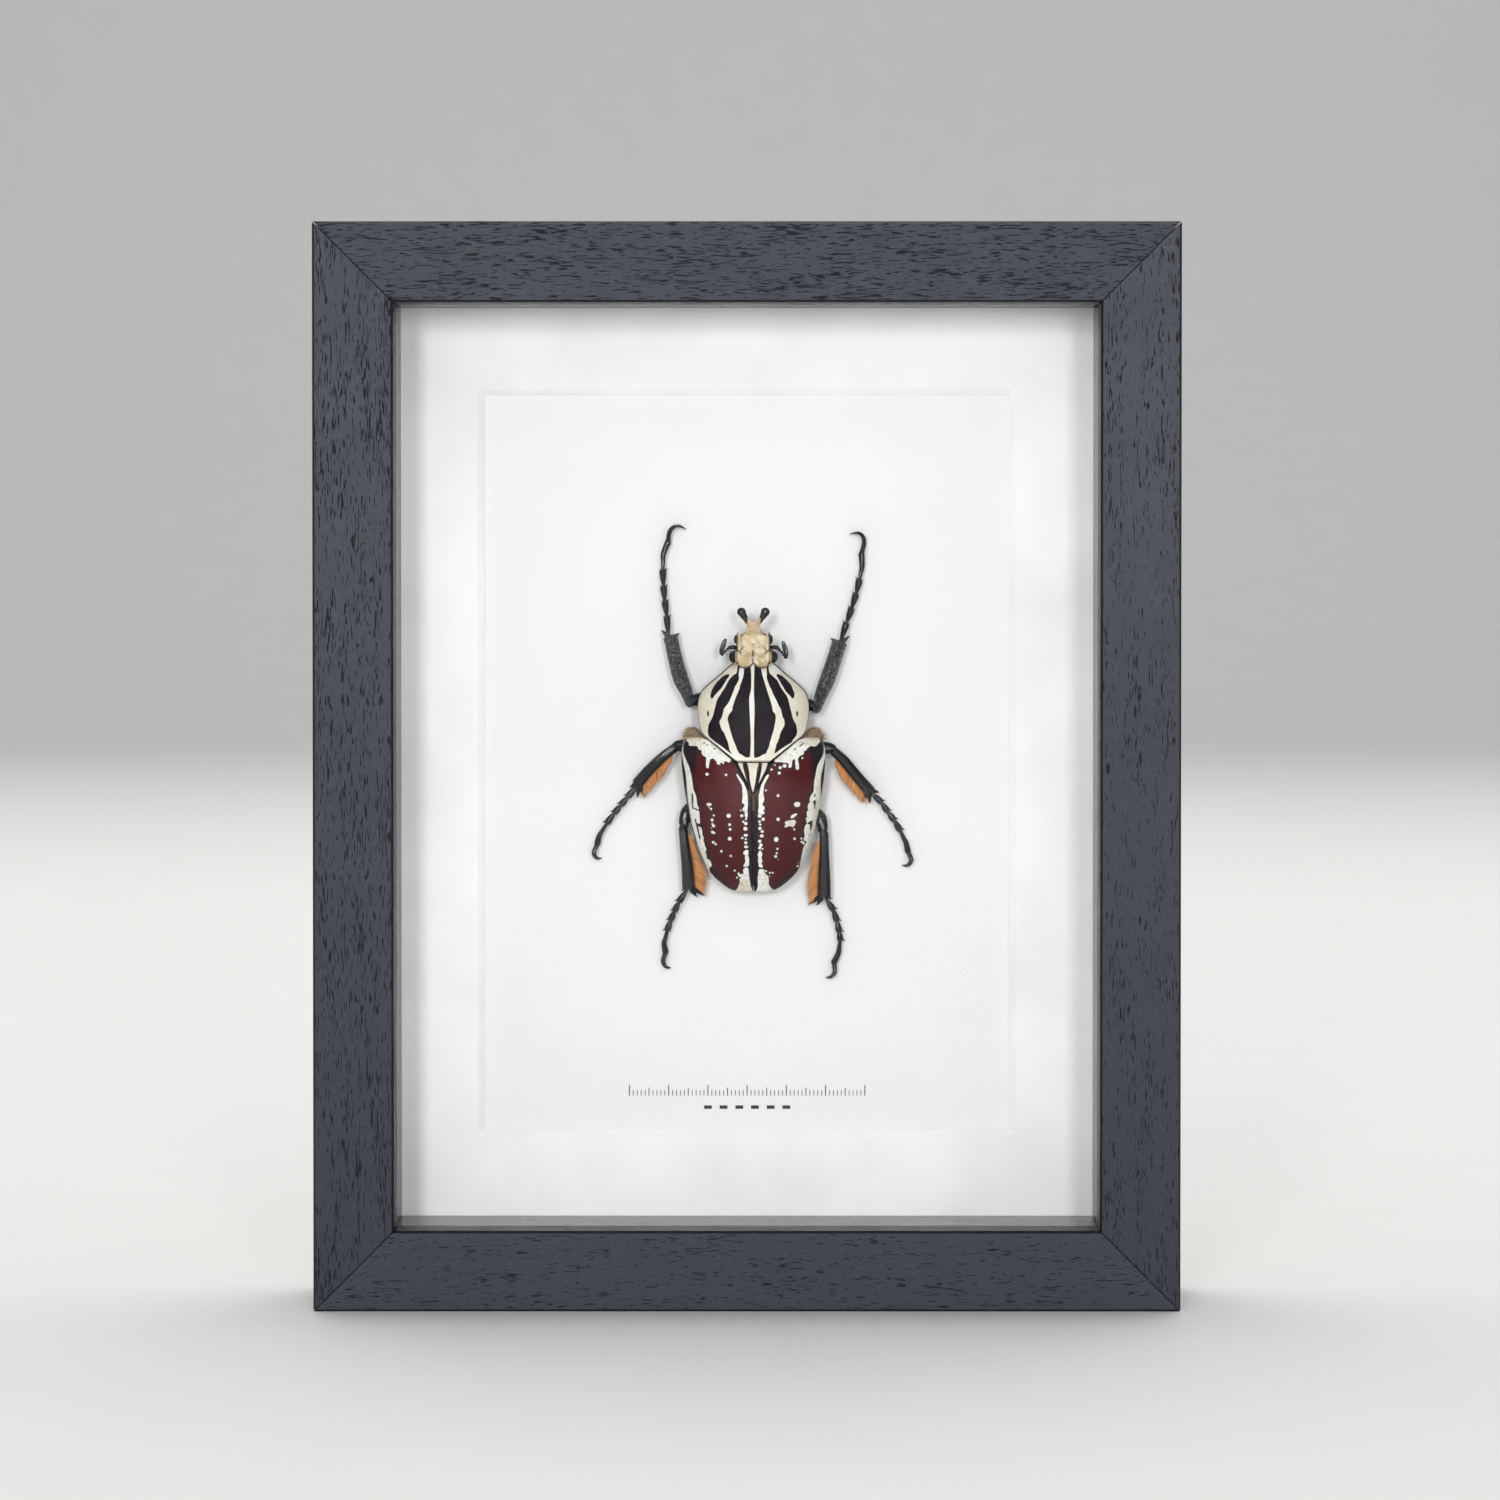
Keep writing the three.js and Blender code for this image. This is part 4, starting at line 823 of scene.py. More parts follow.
# Markings of the wing covers, traced on each side: spots are (x, y, radius) or (x, y, rx, ry)
LEFT_BASE = (
    (-16.3, 4.9), (-16.2, 4.2), (-15, 4.1), (-14.1, 4.1), (-13.9, 3.6), (-13.6, 3.2), (-13, 3),
    (-13, 2.3), (-12.6, 1.7), (-12.1, 1.5), (-11.9, 1.4), (-11.9, 0.8), (-11.9, -1), (-11.7, -1.35),
    (-11.4, -1.4), (-11.2, -1.2), (-11.1, -0.3), (-10.9, 0.6), (-10.6, 1), (-10, 1), (-9.6, 0.6),
    (-9.2, 0.3), (-9.2, -0.2), (-8.8, -0.5), (-8.4, -0.4), (-8.2, 0.1), (-7.9, 0.1), (-7.7, -0.3),
    (-7.4, -0.2), (-7.3, 0.3), (-6.8, 0.4), (-6.4, 0.2), (-6.1, 0.1), (-5.8, 0.3), (-5.6, 0.95),
    (-5.2, 0.6), (-4.8, 0.35), (-4.6, 0.5), (-4.9, 0.9), (-5.5, 2.5), (-12, 7.5), (-16.5, 7),
    (-16.9, 5.5),
)
LEFT_BAND = (
    (-17.2, 5.7), (-17.9, 4), (-18.05, 2.5), (-17.9, 1), (-17.7, 0), (-17.4, -1.5), (-17.1, -3),
    (-16.9, -5), (-16.75, -7), (-16.6, -9), (-16.3, -11), (-16, -13), (-15.6, -15.5), (-15.2, -17),
    (-14.5, -19.5), (-14, -21.5), (-13.3, -23.5), (-12.6, -25.5), (-11.6, -27.8), (-11, -28.4),
    (-10.9, -28.3), (-11.1, -27.6), (-11.1, -26.9), (-10.9, -26.6), (-10.5, -26.3), (-10.6, -25.8),
    (-10.8, -25.1), (-11.1, -24.8), (-11.6, -24.5), (-12, -24.1), (-11.7, -23.9), (-11.9, -23.3),
    (-12.1, -22.5), (-11.8, -22.2), (-12, -21.6), (-12.25, -21), (-12.35, -20.3), (-12.6, -19.8),
    (-12.5, -19.3), (-12.7, -18.6), (-12.9, -18.1), (-12.9, -17.5), (-13, -16.8), (-13.4, -16.3),
    (-13.9, -16.2), (-13.9, -15.6), (-13.5, -15.3), (-13.5, -14.3), (-13.55, -13), (-13.6, -12.4),
    (-13.9, -12.2), (-13.7, -11.5), (-14, -11), (-14.2, -10.3), (-14.3, -9.2), (-14.6, -8),
    (-15.05, -7), (-15.3, -5.5), (-15.5, -4), (-15.8, -2.5), (-16.2, -1.2), (-16.7, 0),
    (-17.2, 1), (-17.6, 2), (-17.75, 2.8), (-17.7, 4.3), (-17.3, 5.2),
)
LEFT_CHAIN = (
    (-4.2, -2.8), (-3.9, -2.9), (-3.3, -3.8), (-2.6, -4.7), (-2, -5.9), (-1.65, -7), (-1.45, -8.2),
    (-1.4, -9.4), (-1.4, -10.6), (-1.5, -12), (-1.45, -13.2), (-1.6, -13.7), (-2, -13.6),
    (-2.2, -12.9), (-2.2, -12.3), (-2.6, -12), (-2.75, -11.5), (-2.4, -11), (-2.2, -10.4),
    (-2.8, -10), (-2.75, -9), (-2.7, -8), (-2.8, -7), (-2.8, -6), (-3.1, -5.1), (-3.6, -4.3),
    (-4, -3.5), (-4.25, -3.1),
)
LEFT_LOWER_CHAIN = (
    (-2.4, -22.3), (-2, -22), (-1.5, -21.9), (-1.25, -22.4), (-1.3, -23.4), (-1.15, -24),
    (-1.05, -25), (-1.15, -25.8), (-1.35, -26.2), (-2.5, -26.25), (-2.5, -25.9), (-2.15, -25.4),
    (-2, -24.6), (-2.2, -24), (-2, -23.4), (-2.4, -23.1), (-2.55, -22.7),
)
LEFT_APEX = (
    (-2.2, -26.6), (-1.6, -26.5), (-1.25, -27), (-1.15, -28), (-1.05, -29), (-0.8, -30.5),
    (-0.65, -31.5), (-0.5, -33.2), (-4, -33.3), (-5.5, -33), (-4.5, -32.6), (-3.9, -31.9),
    (-3.6, -31), (-3.4, -30.2), (-3.6, -29.6), (-3.3, -29.4), (-3.1, -29), (-3.45, -29),
    (-3.9, -28.5), (-4, -28), (-3.6, -27.8), (-3.3, -28.3), (-3.1, -28.6), (-2.9, -28.1),
    (-2.4, -28.2), (-2.6, -27.5), (-2.5, -26.9),
)
LEFT_SPOTS = (
    (-2.9, -13.25, 0.4), (-1.85, -14.1, 0.25), (-2.55, -14.7, 0.28), (-1.9, -15.2, 0.42),
    (-2, -16.5, 0.5), (-1.9, -18.15, 0.55, 0.36), (-2.8, -18.85, 0.3), (-1.9, -19.15, 0.27),
    (-1.9, -20.1, 0.38), (-1.8, -21.15, 0.55, 0.35), (-3.15, -11.85, 0.2), (-4.15, -29.2, 0.25),
    (-11.65, -2.9, 0.42), (-6.85, -3, 0.32), (-11.1, -10.5, 0.65, 0.4), (-10.65, -11.6, 0.3),
    (-11.2, -11.2, 0.15), (-9.95, -13.25, 0.27), (-6.2, -13.25, 0.52), (-10.35, -14.4, 0.38),
    (-10.3, -15.4, 0.25), (-10, -15.9, 0.38), (-10.6, -16.5, 0.15), (-10.3, -17.5, 0.4),
    (-9.8, -17.7, 0.25), (-5.95, -15.5, 0.36), (-5.85, -16.7, 0.35), (-5.95, -19.1, 0.5),
    (-10.1, -20.1, 0.35), (-9.45, -20.55, 0.28), (-8.05, -22.35, 0.33), (-5.65, -23.5, 0.3),
    (-6.7, -26.15, 0.28), (-4.7, -27.35, 0.28),
)
LEFT_SLITS = (
    ((-15.55, -7.9), (-15.2, -8), (-15.15, -9.5), (-15.15, -11.2), (-14.6, -11.6), (-14, -11.9),
     (-13.75, -12.25), (-14.3, -12.1), (-14.9, -11.8), (-15.35, -11.8), (-15.5, -10.5),
     (-15.6, -9)),
    ((-14.8, -14.4), (-14.5, -14.4), (-14.35, -15.2), (-13.95, -15.5), (-13.9, -16.2),
     (-13.75, -17.2), (-13.55, -18.2), (-13.3, -19.3), (-13.5, -19.6), (-13.8, -18.9),
     (-14.1, -17.5), (-14.4, -16.2), (-14.75, -15)),
)
LEFT_PITS = ((-12.4, 4.9, 0.28), (-11.6, 4.4, 0.25), (-9.7, 3.5, 0.3))
RIGHT_BASE = (
    (4.1, 0.4), (4.6, 0.4), (5, 0.8), (5.3, 0.4), (5.6, 0.1), (6, 0.25), (7.4, 0.1), (8.6, -0.05),
    (8.85, -0.5), (8.8, -1.2), (9.5, -1.15), (9.7, -0.3), (9.75, 0.4), (10, 0.8), (10.35, 0.85),
    (10.5, 0.4), (10.55, -0.6), (10.7, -1.6), (11.4, -1.7), (11.45, -0.8), (11.4, 0), (11.2, 0.6),
    (11.4, 1.3), (11.9, 1.8), (12.3, 1.9), (12.6, 2.1), (12.75, 2.4), (12.7, 2.8), (13.3, 3),
    (13.5, 3.5), (13.9, 3.8), (14.3, 4.1), (15.2, 4), (15.9, 4.1), (16.3, 4.6), (16.8, 5.2),
    (16.6, 6), (15, 7), (11, 7), (10, 5.4), (5.1, 2),
)
RIGHT_BAND = (
    (17.1, 5.6), (17.7, 4.4), (18.2, 3.3), (18.3, 2.2), (18.15, 1.3), (18, 0.5), (17.7, -0.8),
    (17.5, -1.8), (17.2, -3), (17.05, -4.5), (17, -6), (17, -8), (17, -9), (16.9, -10),
    (16.75, -11.5), (16.6, -13), (16.3, -14.5), (16, -16), (15.7, -17.5), (15.4, -19), (15, -20.5),
    (14.5, -22), (13.9, -23.6), (13.3, -25.2), (12.8, -26.5), (12.3, -27.5), (11.8, -28.8),
    (11, -30.1), (10.8, -30.1), (11, -29.6), (11.3, -28.8), (11.5, -28), (11.75, -27), (11.8, -26),
    (12, -25), (12.15, -24), (12.3, -23), (12.5, -22), (12.75, -21.4), (13.4, -20.4), (13.3, -20),
    (12.9, -19.9), (12.6, -19.6), (12.8, -19), (12.95, -18.2), (12.75, -17.6), (12.85, -16.8),
    (13, -16), (13.4, -15.6), (13.5, -15.2), (13.3, -14.7), (13.2, -14.1), (13.6, -13.7),
    (13.4, -13.1), (13.5, -12.4), (13.9, -12), (13.7, -11.7), (13.7, -11.1), (13.8, -10.5),
    (14.2, -10.1), (14.15, -9.5), (14.3, -8.7), (14.7, -8.1), (15.1, -7.5), (15.2, -6.8),
    (15.25, -5.5), (15.4, -4.3), (15.7, -3), (15.9, -1.8), (16.2, -0.8), (16.7, 0.2), (17.2, 1),
    (17.6, 1.9), (17.8, 2.8), (17.8, 3.8), (17.5, 4.7),
)
RIGHT_CHAIN = (
    (3.8, -2.9), (3.9, -3.3), (3.5, -4), (3.1, -4.8), (2.7, -5.6), (2.6, -6.3), (2.5, -7.2),
    (2.5, -8), (2.7, -8.8), (2.6, -9.6), (2.3, -10.2), (2.4, -10.6), (2.8, -11), (2.7, -11.7),
    (2.4, -11.9), (2.7, -12.2), (2.8, -12.6), (2.3, -12.9), (1.8, -12.8), (1.3, -12.6), (1.2, -12),
    (1.35, -11), (1.35, -10), (1.3, -9), (1.35, -8.2), (1.6, -7), (1.9, -5.8), (2.4, -4.7),
    (3, -3.6), (3.4, -3),
)
RIGHT_LOWER_CHAIN = (
    (1.4, -22.3), (1.75, -22.05), (2.1, -22.5), (2.25, -23.2), (2, -24), (2.3, -24.6),
    (2.4, -24.9), (2, -25.2), (2.2, -25.8), (2.5, -26.2), (1.9, -26.5), (1.45, -26.3),
    (1.3, -25.8), (1.35, -25.2), (1.1, -24.7), (1.3, -24), (1.1, -23.2),
)
RIGHT_APEX = (
    (1.5, -27), (2.3, -26.9), (2.8, -27.1), (2.7, -27.6), (3.1, -28.2), (3.6, -28.6),
    (3.8, -29.3), (3.9, -30), (3.9, -30.9), (4.2, -31.6), (4.8, -32.3), (5.6, -32.7), (6.5, -33),
    (6, -33.3), (1, -33.3), (1.15, -31.5), (1.1, -29.5), (1.2, -28.2), (1.35, -27.5),
)
RIGHT_CHUNK = (
    (9.4, -13.9), (9.5, -13.4), (10, -12.95), (10.9, -12.75), (10.95, -13.1), (10.4, -13.5),
    (10, -13.85), (9.5, -14),
)
RIGHT_SCAR = (
    (7.9, -14.8), (8.9, -14.5), (9.7, -14.4), (10.4, -14.4), (10.7, -14.9), (10.5, -15.4),
    (10.2, -16), (9.8, -16.2), (9.2, -15.9), (8.6, -16.1), (7.9, -16.2), (7.8, -15.9),
    (8.1, -15.6), (8, -15.2),
)
RIGHT_SPOTS = (
    (5.4, -0.55, 0.2), (4.55, -1.65, 0.3), (6.75, -1.2, 0.42), (7.85, -0.75, 0.5),
    (6.5, -2.55, 0.4), (12.3, 1.15, 0.25), (6.2, -8.2, 0.38), (11, -10.5, 0.8, 0.65),
    (6.2, -14.15, 0.42), (10.3, -16.8, 0.25), (5.75, -19.25, 0.55, 0.65), (10.35, -19.2, 0.33),
    (6.05, -21.65, 0.3), (5.85, -22.8, 0.27), (5.6, -23.65, 0.37), (6.25, -24.4, 0.14),
    (11.35, -25.5, 0.15), (11.2, -26.4, 0.3), (12.1, -19.2, 0.25), (12.2, -20.1, 0.3),
    (12.7, -20.5, 0.3), (3.15, -6.85, 0.25), (1.6, -13.2, 0.5), (2.45, -14.1, 0.42),
    (1.55, -14.7, 0.33), (1.7, -15.45, 0.3), (1.65, -16.4, 0.42), (2.25, -17.2, 0.4),
    (2.1, -18.35, 0.55, 0.38), (1.6, -19.7, 0.42), (1.9, -20.7, 0.45), (1.6, -21.4, 0.38),
    (2.3, -21.65, 0.25), (3.2, -27.45, 0.28), (4.15, -27.9, 0.25), (4.9, -27.9, 0.25),
    (4.05, -28.8, 0.17),
)
RIGHT_SLITS = (
    ((14.9, -10), (15.5, -9.6), (15.75, -9.7), (15.7, -10.5), (15.6, -11.2), (15.5, -12.2),
     (15.35, -11.5), (15.2, -10.5)),
    ((13.9, -15.1), (14.4, -14.85), (14.95, -14.8), (14.9, -15.6), (14.8, -16.4), (14.5, -17.3),
     (14.25, -17.2), (14.3, -16.2), (14.1, -15.7), (13.6, -15.6)),
)
RIGHT_CUTS = (
    (0.12, ((13.7, -11.8), (14.6, -12.1))), (0.14, ((13.7, -18.2), (14.1, -18.6), (14.6, -18.3))),
    (0.12, ((14.1, -18.6), (14.05, -19))), (0.14, ((12.9, -20.8), (13.4, -20.4))),
    (0.3, ((11.7, 4.1), (12.6, 4.9))), (0.15, ((11.5, 4.95), (12.1, 5.3))),
)
RIGHT_PITS = ((15.45, -8.35, 0.25, 0.45), (10.4, 3.4, 0.28))

# Stripes of the pronotum and scutellum
STRIPES = (
    ((-0.75, 24.6), (-1.3, 24.6), (-2, 23.9), (-2.4, 23.2), (-2.4, 22.5), (-2.6, 21.5),
     (-2.9, 20.5),
     (-3.3, 19.5), (-3.6, 18.3), (-4.1, 17.2), (-4.5, 16.2), (-4.9, 15), (-5.2, 14), (-5.3, 13.2),
     (-5.9, 12.5), (-6.3, 11.7), (-6.45, 10.9), (-6.2, 9.8), (-5.9, 8.6), (-5.5, 7.2), (-5.2, 6.2),
     (-4.7, 5), (-4.3, 4), (-3.9, 3), (-3.5, 2.4), (-2.9, 2.1), (-2.3, 1.6), (-1.6, 1.4), (-1, 1.5),
     (-0.85, 1.7), (-0.75, 3), (-0.65, 5), (-0.7, 8), (-0.85, 11), (-1, 14), (-1.05, 16.2),
     (-0.8, 17.5), (-0.55, 19), (-0.55, 22), (-0.7, 24.3)),
    ((0.3, 24.6), (0.8, 24.7), (1.4, 24.4), (1.9, 23.7), (2.1, 22.8), (2.4, 21.5), (2.8, 20.3),
     (3.2, 19), (3.6, 17.7), (4, 16.5), (4.3, 15.5), (4.7, 14.2), (4.9, 13), (5.4, 12.4),
     (5.6, 11.8), (5.55, 10.5), (5.3, 9.3), (5.1, 8.2), (4.7, 7), (4.4, 6), (4.1, 5), (3.9, 4),
     (3.4, 3), (3.1, 2.3), (2.5, 2.2), (1.9, 1.8), (1.2, 1.5), (0.4, 1.3), (0.2, 1.7), (0.15, 3),
     (0.15, 5), (0.15, 8), (0.25, 11), (0.3, 14), (0.15, 17), (0.15, 19), (0.2, 22)),
    ((-3.3, 24.8), (-3.6, 23), (-3.7, 22), (-3.6, 21.2), (-3.9, 20.3), (-4.5, 19.3), (-4.9, 18.2),
     (-5.3, 17.2), (-5.8, 16), (-6.3, 15), (-7, 14.1), (-7.4, 13.5), (-7.6, 12.6), (-7.9, 11.5),
     (-8.4, 10.6), (-8.5, 10.2), (-8.3, 9.3), (-7.9, 8.3), (-7.3, 7.5), (-6.9, 6.5), (-6.5, 5.5),
     (-6.2, 4.5), (-6, 3.4), (-5.6, 2.6), (-5.6, 2.3), (-6.5, 3), (-8, 4.2), (-9.5, 5.2),
     (-10.5, 6), (-10.8, 6.2), (-11.2, 6.8), (-11.45, 7.7), (-11.4, 8.7), (-11.2, 9.7),
     (-10.7, 10.6), (-10.2, 11.7), (-9.9, 12.8), (-9.6, 14), (-9.3, 15.2), (-8.9, 16.2),
     (-8.3, 17.1), (-7.7, 18), (-7.1, 19), (-6.6, 19.9), (-6.1, 20.8), (-5.6, 21.4), (-5, 22),
     (-4.3, 22.4), (-4.1, 23.2), (-3.9, 24.8)),
    ((3.4, 24.8), (3.35, 23.2), (3.4, 22.2), (3.35, 21.2), (3.7, 20.2), (4.1, 19.2), (4.6, 18.2),
     (5, 17.2), (5.5, 16.2), (6, 15.2), (6.4, 14.3), (6.9, 13.5), (7.1, 12.6), (7.3, 11.6),
     (7.7, 10.9), (7.8, 10.2), (7.8, 9.5), (7.4, 8.7), (7, 8), (6.7, 7.3), (6.5, 6.3), (6.2, 5.6),
     (6.1, 5.2), (5.8, 4.8), (5.6, 3.8), (5.4, 3.1), (5.4, 2.4), (6.5, 3.2), (8, 4.2), (9.6, 5.1),
     (9.8, 5.5), (10, 5.9), (10.4, 6.3), (10.8, 6.9), (11, 7.7), (10.9, 8.7), (10.7, 9.7),
     (10.2, 10.5), (9.8, 11.6), (9.5, 12.9), (9.2, 14), (8.9, 15.3), (8.6, 16.3), (8.2, 17.1),
     (7.6, 17.9), (7, 18.8), (6.5, 19.7), (6, 20.7), (5.3, 21.3), (4.6, 22), (4.1, 22.5),
     (3.9, 23.2), (3.8, 24.8)),
    ((-6.1, 22), (-6.4, 22.2), (-7.2, 21.9), (-8, 21.4), (-8.8, 20.6), (-9.6, 19.7), (-10.2, 18.7),
     (-10.6, 17.7), (-10.8, 16.7), (-10.55, 16.1), (-10.2, 16.2), (-9.7, 16.9), (-9, 17.7),
     (-8.2, 18.5), (-7.4, 19.7), (-6.7, 20.9), (-6.1, 21.6)),
    ((5.9, 22.1), (6.3, 22.2), (7.2, 21.8), (8, 21.1), (8.8, 20.3), (9.5, 19.5), (9.9, 18.5),
     (10.3, 17.6), (10.3, 16.7), (10.1, 16.2), (9.8, 16.1), (9.3, 16.7), (8.6, 17.4), (8, 18.1),
     (7.5, 19), (6.9, 20), (6.4, 20.9), (5.9, 21.7)),
)
SCUTELLUM_STRIPES = (
    ((-1.5, 0.6), (1.2, 0.6), (0.9, -2), (0.6, -4), (0.3, -5.8), (-0.1, -7.3), (-0.6, -5.5),
     (-0.9, -4), (-1, -2.5), (-1.3, -1)),
    ((-3.9, 0.6), (-2.8, 0.6), (-2.6, -1), (-2.2, -2.5), (-1.8, -4), (-1.5, -4.9), (-1.9, -4.6),
     (-2.5, -3.4), (-3.2, -1.8), (-3.7, -0.6)),
    ((2.3, 0.6), (3.6, 0.6), (3.3, -1), (2.7, -2.7), (2, -4.2), (1.5, -5), (1.4, -4.8), (1.8, -3),
     (2.1, -1.2)),
)

# Markings of the head
HEAD_KNOBS = ((-2.95, 37.85, 1.25), (3.05, 37.9, 1.25), (-2.9, 32, 0.2), (-0.1, 29.75, 0.12))
HEAD_STROKES = (
    (1.5, ((-2.9, 37.8), (-2.2, 36.6))), (0.7, ((-2.2, 36.6), (-1.75, 35.3))),
    (1.4, ((3, 37.8), (2.35, 36.7))), (0.6, ((2.35, 36.7), (2, 35.4))),
    (0.35, ((1.85, 33.6), (2.1, 32.9), (2.6, 32.4), (3, 32.15))),
    (0.14, ((-2, 32.6), (-2.7, 32.2))), (0.28, ((-4.25, 31.8), (-3.95, 32.9))),
    (0.28, ((3.85, 31.9), (3.95, 33))), (0.3, ((-0.1, 28), (-0.2, 25.4))),
    (0.1, ((0.75, 31.3), (0.85, 30.7), (1.3, 30.2), (1.65, 29.8), (1.7, 29.3), (1.4, 28.9),
           (0.9, 28.8))),
    (0.25, ((-4.3, 28.5), (-3.7, 28), (-3.2, 27.5))), (0.25, ((4.2, 28.5), (3.6, 28), (3.1, 27.4))),
    (0.12, ((2.2, 29.3), (2.7, 28.7), (3.2, 28.2))), (0.12, ((-2.4, 29), (-3, 28.4), (-3.3, 28.2))),
)


# The body
def wing_inner_edge(y):
    slope = SCUTELLUM_HALF / SCUTELLUM_LENGTH
    behind = np.maximum(0.1, 0.25 + slope * (y + SCUTELLUM_LENGTH))
    ahead = 4.4 + 1.22 * y + 0.95 * smooth_step(y, 5.5, SHOULDER_Y)
    return np.where(y > 0, ahead, behind)


def wing_cover(side, columns=130, rows=250):
    """One wing cover: a thin curved shell with a rolled inner edge and a raised shoulder."""

    def plan(u, v):
        y = APEX_Y + (SHOULDER_Y - APEX_Y) * v
        inner, outer = wing_inner_edge(y), wing_half_width(y)
        x = inner + (outer - inner) * (1 - (1 - u) ** 1.5)
        lift = 0.45 * np.clip(1 - x / 2.4, 0, 1) ** 2
        return side * x, y + lift * (1 - smooth_step(y, APEX_Y, APEX_Y + 2))

    def top(x, y):
        away = np.abs(x) - wing_inner_edge(y)
        rolled = 0.35 * np.clip(1 - away / 0.55, 0, 1) ** 2
        apex = 0.3 * np.clip(1 - (y - APEX_Y) / 0.6, 0, 1) ** 2
        shoulder = distance_to_line(np.abs(x), y, ((14.5, 4.2), (14.7, 2.5), (15, 0)))
        ridge = 0.4 * np.exp(-((shoulder / 1.1) ** 2))
        waves = 0.05 * np.sin(np.abs(x) * 1.1 + 0.4) * np.sin(y * 0.35 + side)
        return wing_top(x, y) - rolled - apex + ridge + waves

    name = "wing_shell_left" if side < 0 else "wing_shell_right"
    return slab(name, columns, rows, plan, top, lambda x, y: wing_top(x, y) - 0.9)


def mark_wing(piece, side):
    x, y, height = beetle_places(piece)
    if side < 0:
        patches = (LEFT_BASE, LEFT_BAND, LEFT_CHAIN, LEFT_LOWER_CHAIN, LEFT_APEX)
        white = marking(x, y, LEFT_SPOTS, patches)
        holes = marking(x, y, patches=LEFT_SLITS)
        dirt = marking(x, y, LEFT_PITS)
        band = distance_to_patch(x, y, LEFT_BAND)
        grey = smooth_step(-y, 29.3, 30.2) * smooth_step(x, -6, -4)
        worn = np.zeros(x.shape)
    else:
        patches = (
            RIGHT_BASE, RIGHT_BAND, RIGHT_CHAIN, RIGHT_LOWER_CHAIN, RIGHT_APEX, RIGHT_CHUNK,
            RIGHT_SCAR,
        )
        white = marking(x, y, RIGHT_SPOTS, patches)
        holes = marking(x, y, patches=RIGHT_SLITS, strokes=RIGHT_CUTS)
        dirt = marking(x, y, RIGHT_PITS)
        band = distance_to_patch(x, y, RIGHT_BAND)
        # On the right, the outer strip of the cover below the shoulder is turned towards the duller
        # cream, as painted shade where the cover turns away; the scar's grey is its own colour
        outer = smooth_step(x - 0.16 * y, 16.6, 18)
        grey = np.clip(outer * smooth_step(-y, -3, 4), 0, 1)
        grey = np.maximum(grey, 0.7 * (distance_to_patch(x, y, RIGHT_SCAR) < 0.1))
        worn = np.exp(-((np.hypot(x - 10, y + 14.5) / 2.6) ** 2))
    top_side = height > wing_top(x, y) - 0.6
    across = np.abs(x)
    suture = np.where(y > -8, across - wing_inner_edge(y) - 0.75, across - 1.05)
    shade = 0.95 * smooth_step(-suture, -0.45, 0.1)
    shoulder = smooth_step(across - 0.12 * (3 - y), 13.4, 14.8) * smooth_step(y, -7, -1)
    rim = wing_half_width(y) - across
    apex = smooth_step(-y, 25, 29) * smooth_step(across, 4.2, 6) * smooth_step(-rim, -3.6, -0.6)
    beside = smooth_step(-band, -1.3, 0)
    for amount in (0.95 * shoulder, 0.95 * apex, 0.55 * beside):
        shade = np.maximum(shade, amount)
    cream = np.maximum(grey, 0.8 * smooth_step(across, 12.2, 13.5) * smooth_step(y, 3.2, 4.6))
    lines = (
        (0.16, ((-1.25, -7), (-0.15, -8.5))), (0.16, ((1.15, -6.9), (0.15, -8.5))),
        (0.22, ((side * 0.12, -8.4), (side * 0.12, -12))), (0.05, ((0.55, -8.5), (0.5, -13))),
    )
    # A pale line painted along the rim of the apex, as a highlight on the edge
    ends = np.linspace(-33.0, -28.4, 40)
    painted_rim_highlight = distance_to_line(x, y, np.column_stack([side * (wing_half_width(ends) - 0.12), ends]))
    painted_rim_highlight = np.where(y < -28.2, painted_rim_highlight - 0.1, 9)
    cream = np.maximum(cream, 1.0 * (painted_rim_highlight < 0.5))
    white = np.minimum(np.maximum(white, -holes), painted_rim_highlight)
    note(piece, "white", np.where(top_side, white, 2.0))
    note(piece, "shade", np.where(top_side, shade, 0.8))
    note(piece, "cream", cream)
    note(piece, "golden", np.where(top_side, marking(x, y, strokes=lines), 2.0))
    note(piece, "dirt", dirt)
    note(piece, "dust", 0.35 + worn)


def front_of_pronotum(x):
    """The front edge, hollowed where the two halves of the head's base lie in it."""
    aside = np.clip(np.abs(np.abs(x) - 2.15), 0, 2.5)
    return np.minimum(24.9, 26.1 - np.sqrt(6.25 - aside**2))


def pronotum_shield():
    def plan(u, v):
        along_y = 0.35 + (24.9 - 0.35) * v
        turn = 2 * u - 1
        x = pronotum_half_width(along_y) * (0.6 * turn + 0.4 * np.sin(math.pi / 2 * turn))
        drop = (24.9 - front_of_pronotum(x)) * smooth_step(along_y, 20, 24.9)
        return x, along_y - drop

    def top(x, y):
        front = 0.4 * np.clip(1 - (front_of_pronotum(x) - y) / 0.7, 0, 1) ** 2
        hind = 0.3 * np.clip(1 - (y - 0.35) / 0.5, 0, 1) ** 2
        groove = 0.18 * np.exp(-(((y - 1.2) / 0.35) ** 2)) * smooth_step(-np.abs(x), -4.5, -3)
        uneven = 0.06 * np.sin(x * 0.9) * np.cos(y * 0.6)
        return pronotum_top(x, y) - front - hind - groove + uneven

    def bottom(x, y):
        share = np.clip(np.abs(x) / pronotum_half_width(y), 0, 1)
        return 7.8 - pronotum_keel(y) * (1 - share)

    return slab("pronotum_shield", 170, 150, plan, top, bottom)


